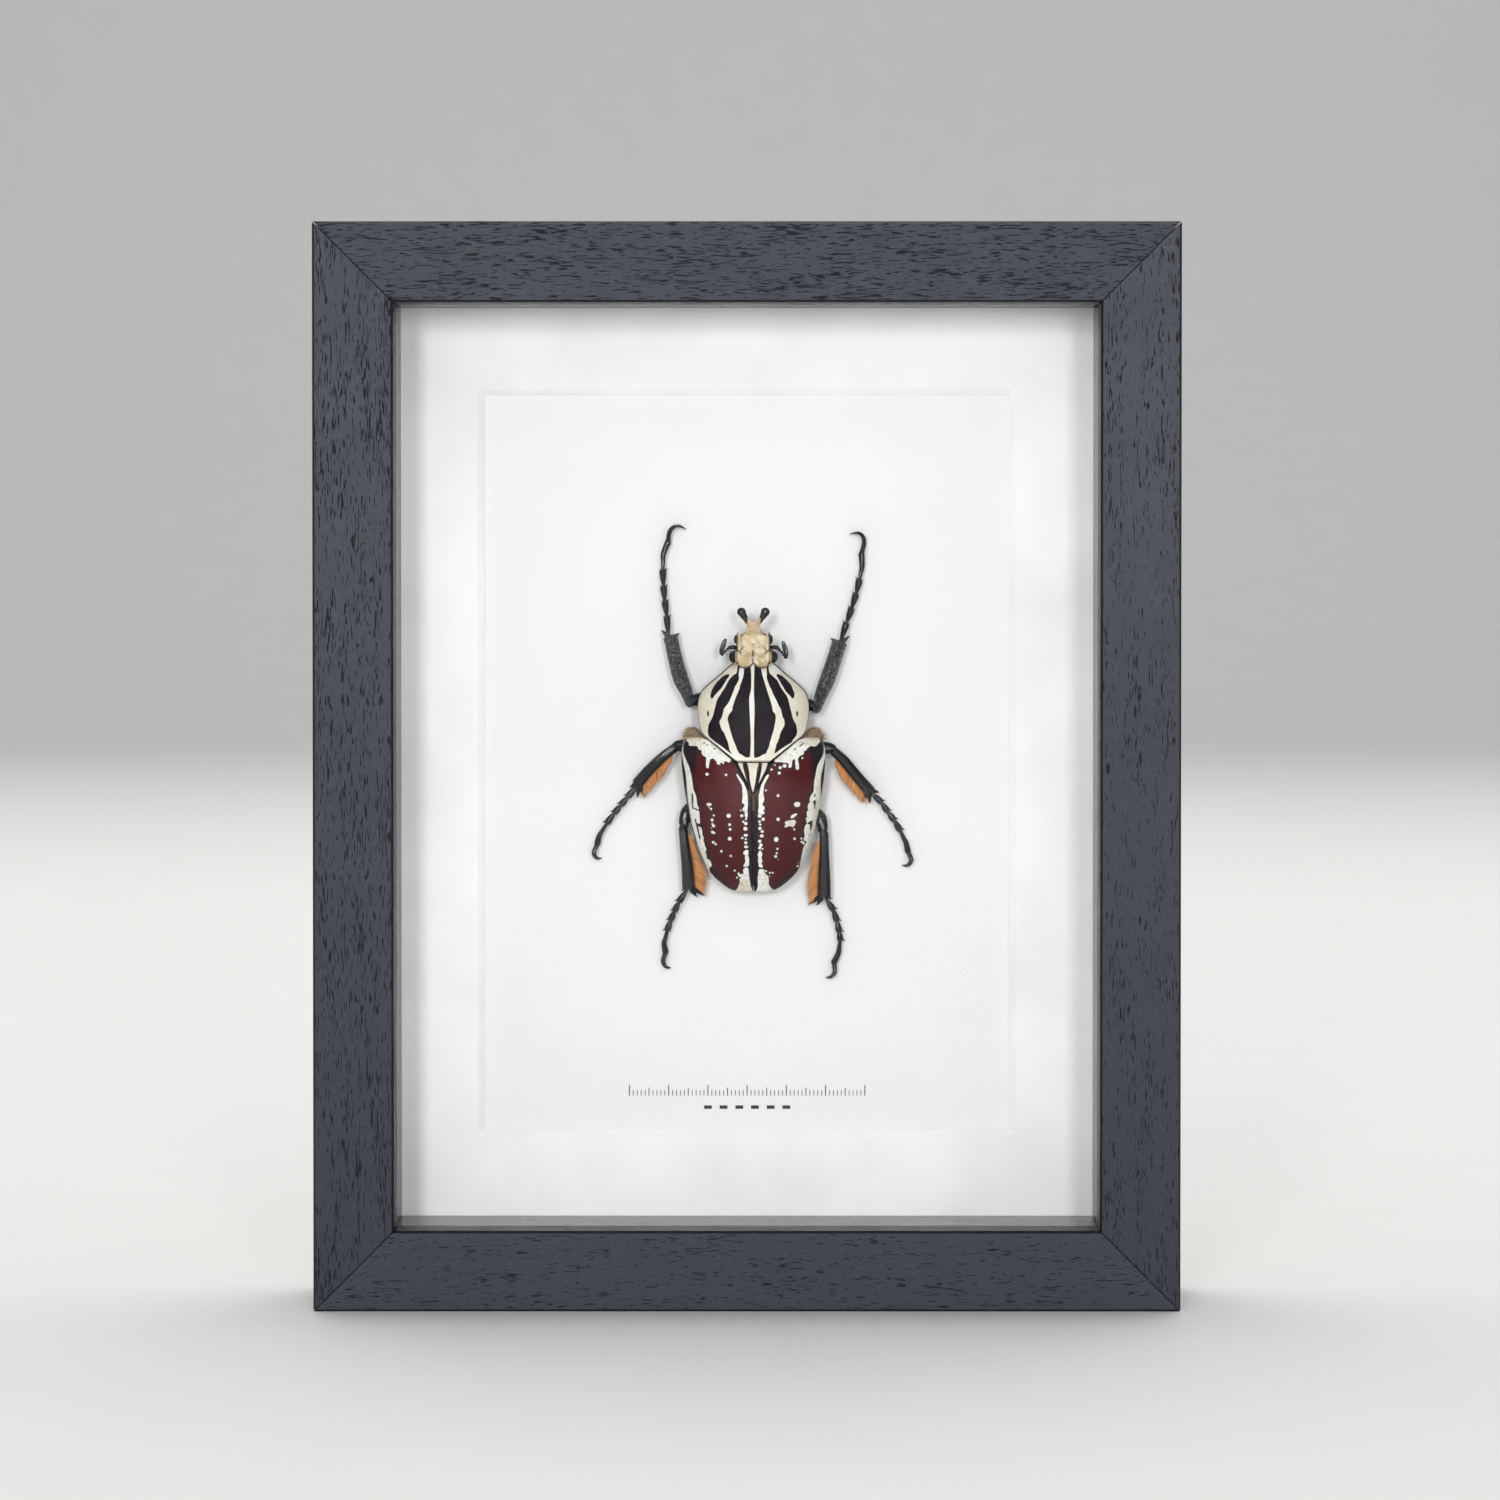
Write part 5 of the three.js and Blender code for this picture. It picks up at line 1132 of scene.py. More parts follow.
def mark_pronotum(piece):
    x, y, height = beetle_places(piece)
    black = marking(x, y, ((-11.4, 12.3, 0.25, 0.75), (11, 12.3, 0.25, 0.75)), STRIPES)
    rows = np.linspace(0.35, 24.9, 120)
    for side in (-1, 1):
        margin = np.column_stack([side * pronotum_half_width(rows), rows])
        away = distance_to_line(x, y, margin)
        width = 0.1 + 0.16 * smooth_step(y, 12, 20)
        black = np.minimum(black, away - width)
    black = np.minimum(black, np.abs(y - 0.5) - 0.07)
    under = height < pronotum_top(x, y) - 0.9
    note(piece, "white", np.where(under, 2.0, -black))
    note(piece, "cream", 0.85 * smooth_step(np.abs(x), 6, 10.5))
    tint = np.exp(-(np.hypot(x + 4.9, y - 24.6) ** 2)) + np.exp(-(np.hypot(x - 3.5, y - 24.6) ** 2))
    note(piece, "brown", 0.5 * np.clip(tint, 0, 1))


def scutellum_plate():
    def plan(u, v):
        y = -7.6 * (1 - v)
        return SCUTELLUM_HALF * (y + SCUTELLUM_LENGTH) / SCUTELLUM_LENGTH * (2 * u - 1), y

    def top(x, y):
        half = SCUTELLUM_HALF * (y + SCUTELLUM_LENGTH) / SCUTELLUM_LENGTH
        edge = 0.16 * np.clip(1 - (half - np.abs(x)) / 0.3, 0, 1) ** 2
        return wing_crest(y) - 0.12 - 0.25 * (x / SCUTELLUM_HALF) ** 2 - edge

    return slab("scutellum_plate", 70, 90, plan, top, lambda x, y: wing_crest(y) - 0.87)


def mark_scutellum(piece):
    x, y, _ = beetle_places(piece)
    note(piece, "white", marking(x, y, patches=SCUTELLUM_STRIPES))
    note(piece, "cream", np.full(x.shape, 0.6))
    note(piece, "brown", 0.2 * smooth_step(y, -2.5, 0))


BODY_FRONT = (
    (0, -0.4), (3.8, -0.4), (5, 0.35), (8, 2.85), (11.3, 5.4), (12.5, 6.1), (13.4, 7.2),
    (14.2, 8.2), (15.4, 8.5), (16.5, 7.8), (17.1, 6.6),
)
BODY_HIND = (
    (0, -31.6), (4, -31.3), (6.5, -30.3), (8.5, -28.5), (10.4, -26.2), (12.4, -22.4),
    (14.1, -17.2), (15.5, -10.5), (16.4, -4), (17.1, 2),
)


def body_top(x, y):
    gap = 0.75 + 0.8 * smooth_step(np.abs(x), 13.5, 16.5)
    under_wing = wing_top(x, np.minimum(y, SHOULDER_Y)) - 0.9 - gap
    return under_wing - 0.45 * np.maximum(y - SHOULDER_Y, 0) ** 2


def body_bottom(x, y):
    share = np.abs(x) / (wing_half_width(np.minimum(y, 2)) - 1.1)
    rise = 3.4 * smooth_step(-y, 25, 33)
    rings = 0.12 * np.sin(y * 2.1) * smooth_step(-y, 4, 8)
    return np.minimum(0.5 + rings + 7 * np.minimum(share, 1) ** 2.2 + rise, body_top(x, y) - 0.5)


def body_core():
    front, hind = along(BODY_FRONT), along(BODY_HIND)

    def plan(u, v):
        turn = 2 * u - 1
        x = 17.1 * (0.65 * turn + 0.35 * np.sin(math.pi / 2 * turn))
        low, high = hind(np.abs(x)), front(np.abs(x))
        return x, low + (high - low) * (0.5 - 0.5 * np.cos(math.pi * v))

    return slab("body_core", 90, 110, plan, body_top, body_bottom)


# The head
FACE_HALF_WIDTH = (
    (23.9, 3.3), (24.4, 3.75), (25, 4.05), (26.3, 4.15), (28, 4.05), (29.5, 3.95), (31.4, 4.0),
    (32, 3.85), (32.3, 3.1), (32.7, 2.35), (33.4, 1.85), (34.2, 1.6), (35.2, 1.8), (36, 2.2),
    (36.4, 2.3),
)
face_half_width = along(FACE_HALF_WIDTH)


def face_top(x, y):
    half = face_half_width(y)
    share = np.clip(np.abs(x) / half, 0, 1)
    plate = smooth_step(y, 26, 28) * (1 - smooth_step(y, 31.5, 33.5))
    hollow = -0.75 * (1 - share**2) * plate
    ridge = 0.4 * np.exp(-(((share - 0.88) / 0.1) ** 2)) * plate
    base = 0.55 * np.exp(-((np.abs(x) - 2.1) ** 2 + (y - 26) ** 2) / 1.5)
    median = 0.22 * np.exp(-((x / 0.3) ** 2))
    median = median * smooth_step(y, 25.5, 27) * (1 - smooth_step(y, 29, 31))
    neck = 0.35 * smooth_step(y, 32.5, 35.5) - 0.25 * (np.abs(x) / 2) ** 2 * smooth_step(y, 33, 34)
    fall = 0.5 * np.clip((share - 0.93) / 0.07, 0, 1) ** 2
    return 12.0 + hollow + ridge + base + median + neck - fall


def face_plate():
    def plan(u, v):
        y = 23.9 + (36.4 - 23.9) * v
        x = face_half_width(y) * (2 * u - 1)
        aside = np.clip(np.abs(np.abs(x) - 2.15), 0, 2.2)
        lobes = 26.1 - np.sqrt(4.84 - aside**2) - 23.9
        fork = (1 - (x / 2.1) ** 2) * 0.9 * smooth_step(y, 34.6, 36.4)
        return x, y + lobes * (1 - smooth_step(y, 23.9, 27.5)) - fork

    return slab("face_plate", 60, 90, plan, face_top, lambda x, y: face_top(x, y) * 0 + 9.9)


def head_skin():
    parts = [face_plate(), ball("skull", (0, 28.3, 7.9), (2.8, 2.9, 3))]
    for side in (-1, 1):
        stations = [
            [side * 1.35, 34.9, 11.0], [side * 1.9, 36.0, 11.1], [side * 2.5, 36.9, 11.3],
            [side * 2.98, 37.75, 11.45],
        ]
        size = [0.62, 0.72, 0.95, 1.12]
        parts.append(tube("prong", stations, size, size))
        parts.append(ball("knob", (side * 3.0, 37.85, 11.45), (1.15, 1.12, 1.05)))
        parts.append(ball("socket", (side * 4.3, 26.5, 9.4), (1.2, 1.9, 1.5)))
        parts.append(ball("jaw", (side * 4.3, 30.9, 9.6), (0.66, 1.2, 0.9)))
        parts.append(tube(
            "cheek", [[side * 3.9, 28.4, 11], [side * 4.05, 30, 11.2], [side * 3.95, 31.9, 11.3]],
            [0.26, 0.3, 0.24], [0.8, 0.8, 0.5],
        ))
        parts.append(spike("tooth", (side * 4.1, 31.7, 11.6), (side * 3.9, 33.1, 11.9), 0.36))
    return blend_together(join("head_skin", parts), 0.13, 5)


def mark_head(piece):
    x, y, height = beetle_places(piece)
    across = np.abs(x)
    black = marking(x, y, HEAD_KNOBS, strokes=HEAD_STROKES)
    black = np.where(height > 10.2, black, np.minimum(black, height - 9.4))
    wall = np.maximum(4.0 - across, np.abs(y - 30.2) - 2.3)
    note(piece, "black", np.minimum(black, wall))
    neck = smooth_step(y, 32.6, 34) * (1 - smooth_step(y, 36, 37))
    edge = smooth_step(across / face_half_width(y), 0.9, 1.0) * smooth_step(y, 27.5, 28.5)
    rim = (1 - smooth_step(y, 24.2, 25.0)) * 0.6
    warm = np.exp(-(((across - 1.4) / 0.9) ** 2 + ((y - 26.2) / 0.6) ** 2))
    side_fall = smooth_step(-height, -11.4, -10.3)
    note(piece, "tan", np.clip(0.5 * neck + 0.35 * edge + 0.45 * warm + rim + side_fall, 0, 1))
    spot = np.exp(-(np.hypot(x - 1, y - 34.9) ** 2) / 0.6)
    note(piece, "rust", np.clip(0.35 * spot + 0.75 * edge * side_fall, 0, 1))


def eye(side):
    name = "eye_left" if side < 0 else "eye_right"
    piece = ball(name, (side * 5.0, 26.5, 9.8), (1.2, 1.55, 1.5), 40, 26)
    places = places_of(piece)
    inner = (places[:, 0] / MM - BEETLE_X) * side < 4.6
    places[inner, 0] = (BEETLE_X + side * 4.6) * MM
    move_to(piece, places)
    return close_up(piece)


def antenna(side):
    """A scape, a stalk of short beads and a club of three leaves folded back beside it."""
    height = 8.1
    name = "antenna_limb_left" if side < 0 else "antenna_limb_right"

    def there(x, y, up=0.0):
        return [side * x, y, height + up]

    if side < 0:
        beads = [(6.3, 28.6), (6.9, 28.15), (7.4, 27.6), (7.75, 27.1), (8.1, 26.75)]
        leaf = [(8.15, 26.9), (8.0, 28.2), (7.4, 29.9), (6.9, 31.1)]
    else:
        beads = [(6.3, 28.5), (6.9, 27.95), (7.4, 27.35), (7.8, 26.7), (8.15, 26.1)]
        leaf = [(8.2, 25.9), (8.25, 27.3), (7.8, 29.1), (7.3, 30.5)]
    scape = [there(3.6, 28.7), there(4.9, 28.9), there(5.8, 28.85), there(6.5, 28.6)]
    parts = [tube("scape", scape, [0.36, 0.55, 0.5, 0.34], [0.34, 0.5, 0.45, 0.32])]
    for start, end in zip(beads[:-1], beads[1:]):
        line = [there(*start), there((start[0] + end[0]) / 2, (start[1] + end[1]) / 2), there(*end)]
        parts.append(tube("bead", line, [0.28, 0.4, 0.34], [0.28, 0.38, 0.34], 12, 12))
    for up, share in ((-0.3, 0.96), (0.0, 1.0), (0.3, 0.94)):
        line = [there(x * (1 + 0.002 * k), y if k < 3 else y * share + (1 - share) * 29, up)
                for k, (x, y) in enumerate(leaf)]
        parts.append(tube("leaf", line, [0.34, 0.58, 0.6, 0.3], [0.13, 0.15, 0.15, 0.11], 16, 26))
    return join(name, parts)


# The legs, each side in its own place
LEGS = (
    {
        "name": "fore_leg_left", "side": -1,
        "femur": [[-11.4, 15.5, 4.1], [-13.6, 15.6, 4.6], [-15.7, 15.3, 5.2]],
        "femur_half": [1.7, 1.85],
        "tibia": [[-16.1, 14.7, 5.3], [-17.0, 17.6, 5.4], [-18.4, 20.8, 5.1], [-19.7, 25.4, 4.6],
                  [-20.7, 30.0, 4.1], [-21.2, 32.0, 3.9]],
        "tibia_half": [0.95, 1.6, 1.95, 1.85, 1.8, 2.0],
        "spurs": [[-18.7, 32.4], [-23.4, 33.2]],
        "joints": [[-21.6, 32.4], [-22.0, 36.9], [-22.5, 40.7], [-22.85, 44.45], [-23.0, 48.7]],
        "last": [[-22.85, 52.5], [-21.4, 56.2]],
        "claw": [[-21.3, 58.0], [-20.3, 59.3], [-18.8, 59.6], [-17.1, 58.8]],
    },
    {
        "name": "fore_leg_right", "side": 1,
        "femur": [[11.4, 14.4, 4.1], [13.4, 14.3, 4.6], [15.4, 13.9, 5.2]],
        "femur_half": [1.7, 1.85],
        "tibia": [[16.0, 13.3, 5.3], [17.1, 16.6, 5.4], [18.7, 20.6, 5.1], [20.3, 25.2, 4.6],
                  [21.5, 29.0, 4.1], [22.0, 30.6, 3.9]],
        "tibia_half": [0.95, 1.6, 1.95, 1.9, 1.9, 2.1],
        "spurs": [[19.6, 31.2], [24.5, 31.7]],
        "joints": [[22.3, 31.0], [23.7, 35.2], [25.0, 38.9], [26.1, 42.5], [27.0, 46.2]],
        "last": [[27.6, 49.6], [27.4, 53.2]],
        "claw": [[28.1, 55.4], [27.6, 57.2], [26.3, 57.9], [24.4, 57.5]],
    },
    {
        "name": "middle_leg_left", "side": -1,
        "femur": [[-14.9, 3.6, 3.8], [-17.4, 3.9, 4.9], [-19.6, 3.9, 5.5]],
        "femur_half": [1.5, 1.8],
        "tibia": [[-19.9, 3.4, 5.6], [-23.2, 0.9, 5.4], [-26.5, -2.3, 4.9], [-29.0, -5.3, 4.2],
                  [-29.7, -6.2, 4.0]],
        "tibia_half": [0.95, 1.25, 1.35, 1.5, 1.55],
        "fringe": [0.7, 2.1, 2.3, 1.8],
        "spurs": [[-27.7, -9.2], [-29.4, -9.4], [-31.5, -6.8]],
        "joints": [[-29.9, -6.7], [-31.9, -9.2], [-33.6, -11.2], [-35.3, -13.3], [-37.3, -16.0]],
        "last": [[-39.2, -19.2], [-39.8, -21.8]],
        "claw": [[-40.5, -23.2], [-40.3, -24.3], [-39.5, -24.85], [-38.5, -24.8]],
    },
    {
        "name": "middle_leg_right", "side": 1,
        "femur": [[14.9, 3.2, 3.8], [17.6, 3.3, 4.9], [20.0, 3.1, 5.5]],
        "femur_half": [1.5, 1.8],
        "tibia": [[20.3, 2.6, 5.6], [22.9, 0.2, 5.4], [25.9, -3.4, 4.9], [28.9, -7.0, 4.2],
                  [29.9, -8.1, 4.0]],
        "tibia_half": [0.95, 1.3, 1.35, 1.5, 1.55],
        "fringe": [0.7, 2.0, 2.1, 1.6],
        "spurs": [[27.7, -10.5], [29.6, -10.9], [31.9, -8.0]],
        "joints": [[30.3, -8.4], [32.5, -10.6], [34.1, -12.9], [35.7, -15.1], [37.3, -17.8]],
        "last": [[38.8, -21.0], [39.4, -23.7]],
        "claw": [[40.1, -25.0], [39.7, -26.2], [38.9, -26.7], [37.8, -26.6]],
    },
    {
        "name": "hind_leg_left", "side": -1,
        "femur": [[-14.0, -10.4, 3.5], [-16.9, -12.9, 4.6], [-17.6, -16.2, 5.3]],
        "femur_half": [1.5, 1.95],
        "tibia": [[-17.8, -16.9, 5.4], [-17.4, -21.5, 5.2], [-16.8, -26.5, 4.7],
                  [-16.5, -31.4, 4.2], [-16.4, -32.6, 4.0]],
        "tibia_half": [0.95, 1.25, 1.5, 1.65, 1.7],
        "fringe": [0.5, 1.8, 3.2, 2.4],
        "spurs": [[-12.4, -34.3], [-14.3, -34.7], [-18.3, -33.0]],
        "joints": [[-17.1, -33.1], [-18.9, -35.9], [-20.0, -38.2], [-21.0, -40.5], [-21.9, -43.2]],
        "last": [[-22.7, -46.6], [-22.2, -49.4]],
        "claw": [[-22.95, -50.7], [-22.7, -51.9], [-22.0, -52.6], [-21.0, -52.7]],
    },
    {
        "name": "hind_leg_right", "side": 1,
        "femur": [[14.0, -11.6, 3.5], [16.8, -14.2, 4.6], [17.7, -17.6, 5.3]],
        "femur_half": [1.5, 1.95],
        "tibia": [[17.9, -18.2, 5.4], [18.0, -23.3, 5.2], [18.0, -28.5, 4.7], [18.0, -33.4, 4.2],
                  [18.0, -34.7, 4.0]],
        "tibia_half": [0.95, 1.2, 1.5, 1.65, 1.7],
        "fringe": [0.5, 2.1, 2.8, 2.2],
        "spurs": [[13.8, -36.6], [16.1, -36.8], [19.9, -35.2]],
        "joints": [[18.6, -35.3], [20.3, -37.9], [21.2, -40.7], [21.8, -43.4], [22.1, -45.6]],
        "last": [[21.6, -49.0], [20.2, -52.0]],
        "claw": [[20.7, -53.3], [20.4, -54.4], [19.5, -55.1], [18.4, -55.2]],
    },
)


def between(start, end, share):
    return [a + (b - a) * share for a, b in zip(start, end)]


# Half widths of a thigh where it runs into the knee
KNEE_HALF = [1.3, 1.1]


def femur(leg):
    def swell(angle, here):
        return 1 + 0.035 * np.sin(3 * angle + here) + 0.02 * np.sin(7 * here)

    slim = 0.8 if leg["name"].startswith("hind") else 0.92
    halves = [half * slim for half in leg["femur_half"]] + KNEE_HALF
    tall = [half * 0.85 for half in halves]
    line = leg["femur"] + [between(leg["femur"][-1], leg["tibia"][0], 0.95)]
    return tube(f"{leg['name']}_thigh", line, halves, tall, 32, 48, swell, (1, 0.8))


def tibia(leg):
    rugged = 0.015 if "fringe" in leg else 0.04
    phase = 0.7 * len(leg["name"])

    def swell(angle, here):
        knots = np.sin(here * 4.6 + 3 * np.sin(2 * angle + phase)) * np.sin(5 * angle + here * 1.7)
        ribs = np.cos(7 * angle + 0.25 * np.sin(here * 0.8)) * np.maximum(np.sin(angle), 0)
        return 1 + rugged * knots + 0.06 * ribs

    flat = 0.8 if "fringe" in leg else 0.68
    tall = [half * flat for half in leg["tibia_half"]]
    knee = [between(leg["tibia"][0], leg["femur"][-1], 0.9)]
    halves = [1.0, 1.15] + leg["tibia_half"][1:]
    parts = [tube("shank", knee + leg["tibia"], halves, [0.85] + tall, 48, 150, swell, (1, 0.4))]
    end, before = leg["tibia"][-1], leg["tibia"][-2]
    inside = between(end, before, 1.1 / math.dist(end, before))
    for x, y in leg["spurs"]:
        aside = between(inside, [x, y, inside[2] - 0.2], 0.3)
        parts.append(spike("spur", aside, [x, y, end[2] - 0.6], 0.8))
    return join(f"{leg['name']}_shank", parts)


def tarsus(leg):
    """Four flared joints with an inner tooth each, a last joint and its two claws."""
    places = leg["joints"] + leg["last"]
    drop = (3.7 - 2.0) / (len(places) - 1)
    stations = [[x, y, 3.7 - drop * k] for k, (x, y) in enumerate(places)]
    parts = []
    for start, end in zip(stations[:4], stations[1:5]):
        line = [between(start, end, share) for share in (-0.2, 0.1, 0.4, 0.84, 1.0)]
        sizes = [0.42, 0.5, 0.74, 0.92, 0.74]
        parts.append(tube("joint", line, sizes, [s * 0.86 for s in sizes], 18, 30))
        forward = np.subtract(end, start)
        forward = forward / np.linalg.norm(forward)
        inward = np.cross(forward, (0, 0, 1)) * -leg["side"]
        corner = np.array(between(start, end, 0.88))
        for way, reach in ((inward, 1.2), (-inward, 0.95)):
            tip = corner + way * reach + forward * (0.75 if reach > 1 else 0.5)
            parts.append(spike("tooth", corner + way * 0.4, tip, 0.34 if reach > 1 else 0.28))
    last = [between(stations[4], stations[5], share) for share in (-0.15, 0.5, 1.0)]
    last.append(stations[6])
    parts.append(tube("last", last, [0.42, 0.56, 0.68, 0.86], [0.4, 0.5, 0.6, 0.74], 18, 40))
    root = between(stations[6], stations[5], 0.2)
    for level in (-1, 1):
        claw = [root] + [
            [x, y, root[2] + level * 0.55 * min(k + 1, 3) * 0.5]
            for k, (x, y) in enumerate(leg["claw"])
        ]
        sizes = [0.62, 0.58, 0.5, 0.34, 0.07]
        parts.append(tube("claw", claw, sizes, sizes, 12, 40))
    return join(f"{leg['name']}_foot", parts)


# Hair
def hair_tuft(name, roots, tips, sag, thickness, tones):
    """Closed three-sided hairs that bow from each root to its tip."""
    count = len(roots)
    shares = np.array([0.0, 0.35, 0.7])
    ahead = tips - roots
    length = np.linalg.norm(ahead, axis=1)[:, None]
    ahead = ahead / length
    side = np.cross(ahead, (0, 0, 1.0))
    side /= np.linalg.norm(side, axis=1)[:, None]
    over = np.cross(side, ahead)
    rings = []
    for share, size in zip(shares, (1.0, 0.85, 0.55)):
        middle = roots + (tips - roots) * share + sag * math.sin(math.pi * share)
        for corner in range(3):
            turn = 2 * math.pi * corner / 3
            away = side * math.cos(turn) + over * math.sin(turn)
            rings.append(middle + away * (thickness * size)[:, None])
    rings.append(tips)
    spots = np.stack(rings, 1)
    pattern = [(0, 2, 1)]
    for low in (0, 3):
        for k in range(3):
            pattern.append((low + k, low + (k + 1) % 3, low + 3 + (k + 1) % 3, low + 3 + k))
    pattern += [(6 + k, 6 + (k + 1) % 3, 9) for k in range(3)]
    faces = []
    for k in range(count):
        faces += [tuple(10 * k + corner for corner in face) for face in pattern]
    spots = spots.reshape(-1, 3)
    mesh = bpy.data.meshes.new(name)
    mesh.from_pydata(at(spots[:, 0], spots[:, 1], spots[:, 2]).tolist(), [], faces)
    piece = bpy.data.objects.new(name, mesh)
    bpy.context.collection.objects.link(piece)
    note(piece, "along", np.tile([0] * 3 + [0.35] * 3 + [0.7] * 3 + [1.0], count))
    note(piece, "tone", np.repeat(tones, 10))
    close_up(piece)
    bpy.ops.object.shade_smooth()
    return piece


def fringe(leg, count, length):
    """The comb of hair on the inner edge of a tibia."""
    random = np.random.default_rng(sum(map(ord, leg["name"])))
    stations = np.array(leg["tibia"])
    halves = np.array(leg["tibia_half"])
    widths = np.array(leg["fringe"] + [leg["fringe"][-1] * 0.8])
    steps = np.concatenate([[0], np.cumsum(np.linalg.norm(np.diff(stations, axis=0), axis=1))])
    place = random.uniform(0.1, 0.97, count) * steps[-1]
    middle = np.column_stack([np.interp(place, steps, stations[:, k]) for k in range(3)])
    ahead = np.column_stack([np.interp(place + 0.3, steps, stations[:, k]) for k in range(3)])
    behind = np.column_stack([np.interp(place - 0.3, steps, stations[:, k]) for k in range(3)])
    forward = ahead - behind
    forward[:, 2] = 0
    forward /= np.linalg.norm(forward, axis=1)[:, None]
    inward = np.cross(forward, (0, 0, 1.0)) * leg["side"]
    half = np.interp(place, steps, halves)
    width = np.interp(place, steps, widths) * length
    clump = np.sin(place * 4.1) * 0.12 + np.sin(place * 9.7 + 1) * 0.08
    reach = width * (random.beta(3, 1.2, count) * 1.1 + clump) + 0.3
    level = random.normal(-0.35, 0.3, count)
    up = np.array([0, 0, 1.0])
    roots = middle + inward * (half * 0.78)[:, None] + up * level[:, None]
    slant = random.normal(1.0, 0.16, count)
    lift = random.normal(-0.15, 0.22, count)
    tips = roots + inward * (reach + half * 0.2)[:, None] + forward * (reach * slant)[:, None]
    tips = tips + up * lift[:, None]
    sag = inward * (reach * 0.1)[:, None]
    thickness = random.uniform(0.035, 0.085, count)
    streaks = np.sin(place * 7.3 + 2 * np.sin(place * 3.1)) * 0.4
    tones = np.clip(random.normal(0.3, 0.3, count) + streaks, 0, 1)
    return hair_tuft(f"{leg['name']}_hair", roots, tips, sag, thickness, tones)


def shoulder_fur(count):
    """Short golden hair on the part of the thorax that shows beside the pronotum."""
    random = np.random.default_rng(5)
    x = random.uniform(10.3, 17.3, count * 3)
    y = random.uniform(4.6, 8.5, count * 3)
    front = along(BODY_FRONT)
    keep = (y < front(x) + 0.1) & (y > 4.9 + 0.1 * (x - 10.3))
    x, y = x[keep][:count], y[keep][:count]
    side = np.where(random.random(len(x)) < 0.5, -1, 1)
    height = body_top(x, y)
    roots = np.column_stack([side * x, y, height - 0.2])
    spread = random.normal(0, 0.4, (len(x), 3))
    lean = np.column_stack([side * 0.55, np.full(len(x), -0.1), np.full(len(x), 0.6)]) + spread
    lean /= np.linalg.norm(lean, axis=1)[:, None]
    length = random.uniform(0.8, 2.1, len(x))
    tips = roots + lean * length[:, None]
    tips[:, 2] = np.minimum(tips[:, 2], wing_top(x, np.minimum(y, SHOULDER_Y)) + 0.3)
    sag = np.column_stack([np.zeros(len(x)), np.zeros(len(x)), length * 0.12])
    thickness = random.uniform(0.03, 0.065, len(x))
    tones = np.clip(random.random(len(x)) * 1.2 + 0.5 * np.sin(x * 3.1) * np.sin(y * 4.0), 0, 1)
    return hair_tuft("shoulder_fur", roots, tips, sag, thickness, tones)


# Sizes and colours that a user would change
def colour_choice(name, description, default):
    return bpy.props.FloatVectorProperty(
        name=name, description=description, default=default, subtype="COLOR", size=3, min=0, max=1
    )


class FrameLooks(bpy.types.PropertyGroup):
    wood_colour: colour_choice("Wood", "Black stain on the frame's rails", (0.012, 0.0125, 0.018))
    paper_colour: colour_choice("Card", "White of the card and the mat", (0.862, 0.858, 0.855))
    pore_amount: bpy.props.FloatProperty(
        name="Pores", description="How many open pores the wood shows", default=0.5, min=0, max=1,
        subtype="FACTOR",
    )
    pore_length: bpy.props.FloatProperty(
        name="Pore length", description="Length of the pores against their usual one", default=1.0,
        min=0.2, max=4,
    )


class BeetleLooks(bpy.types.PropertyGroup):
    maroon: colour_choice("Maroon", "Ground colour of the wing covers", (0.074, 0.0095, 0.0105))
    white: colour_choice("White", "Spots, bands and pale stripes", (0.86, 0.85, 0.79))
    cream: colour_choice("Cream", "Sides of the pronotum and dull spots", (0.78, 0.72, 0.57))
    face: colour_choice("Face", "Plate of the head", (0.66, 0.57, 0.39))
    hair_colour: colour_choice("Hair", "Fringes of the legs", (0.92, 0.37, 0.075))
    fur_colour: colour_choice("Fur", "Short hair at the shoulders", (0.56, 0.37, 0.18))
    fringe_hairs: bpy.props.IntProperty(
        name="Fringe hairs", description="Hairs in each fringe", default=1500, min=100, max=8000
    )
    fringe_length: bpy.props.FloatProperty(
        name="Fringe length", description="Length of the fringes against their usual one",
        default=1.0, min=0.2, max=1.1, subtype="FACTOR",
    )
    fur_hairs: bpy.props.IntProperty(
        name="Fur hairs", description="Hairs at the two shoulders", default=3400, min=100, max=9000
    )


class StageLooks(bpy.types.PropertyGroup):
    floor_colour: colour_choice("Floor", "Plain pale floor", (0.82, 0.81, 0.79))
    key_power: bpy.props.FloatProperty(
        name="Key light", description="Narrow soft light at the left", default=32, min=0,
        unit="POWER",
    )
    front_power: bpy.props.FloatProperty(
        name="Front light", description="Narrow soft light at the right", default=22, min=0,
        unit="POWER",
    )
    top_power: bpy.props.FloatProperty(
        name="Top light", description="Weaker light from above", default=5, min=0,
        unit="POWER",
    )
    floor_power: bpy.props.FloatProperty(
        name="Floor light", description="Wide soft light on the floor and behind the frame",
        default=66, min=0,
        unit="POWER",
    )
    surround: bpy.props.FloatProperty(
        name="Surround", description="Strength of the pale surroundings", default=0.36, min=0
    )
    lens: bpy.props.FloatProperty(
        name="Lens", description="Focal length of the camera", default=110.346, min=20,
        subtype="DISTANCE_CAMERA",
    )


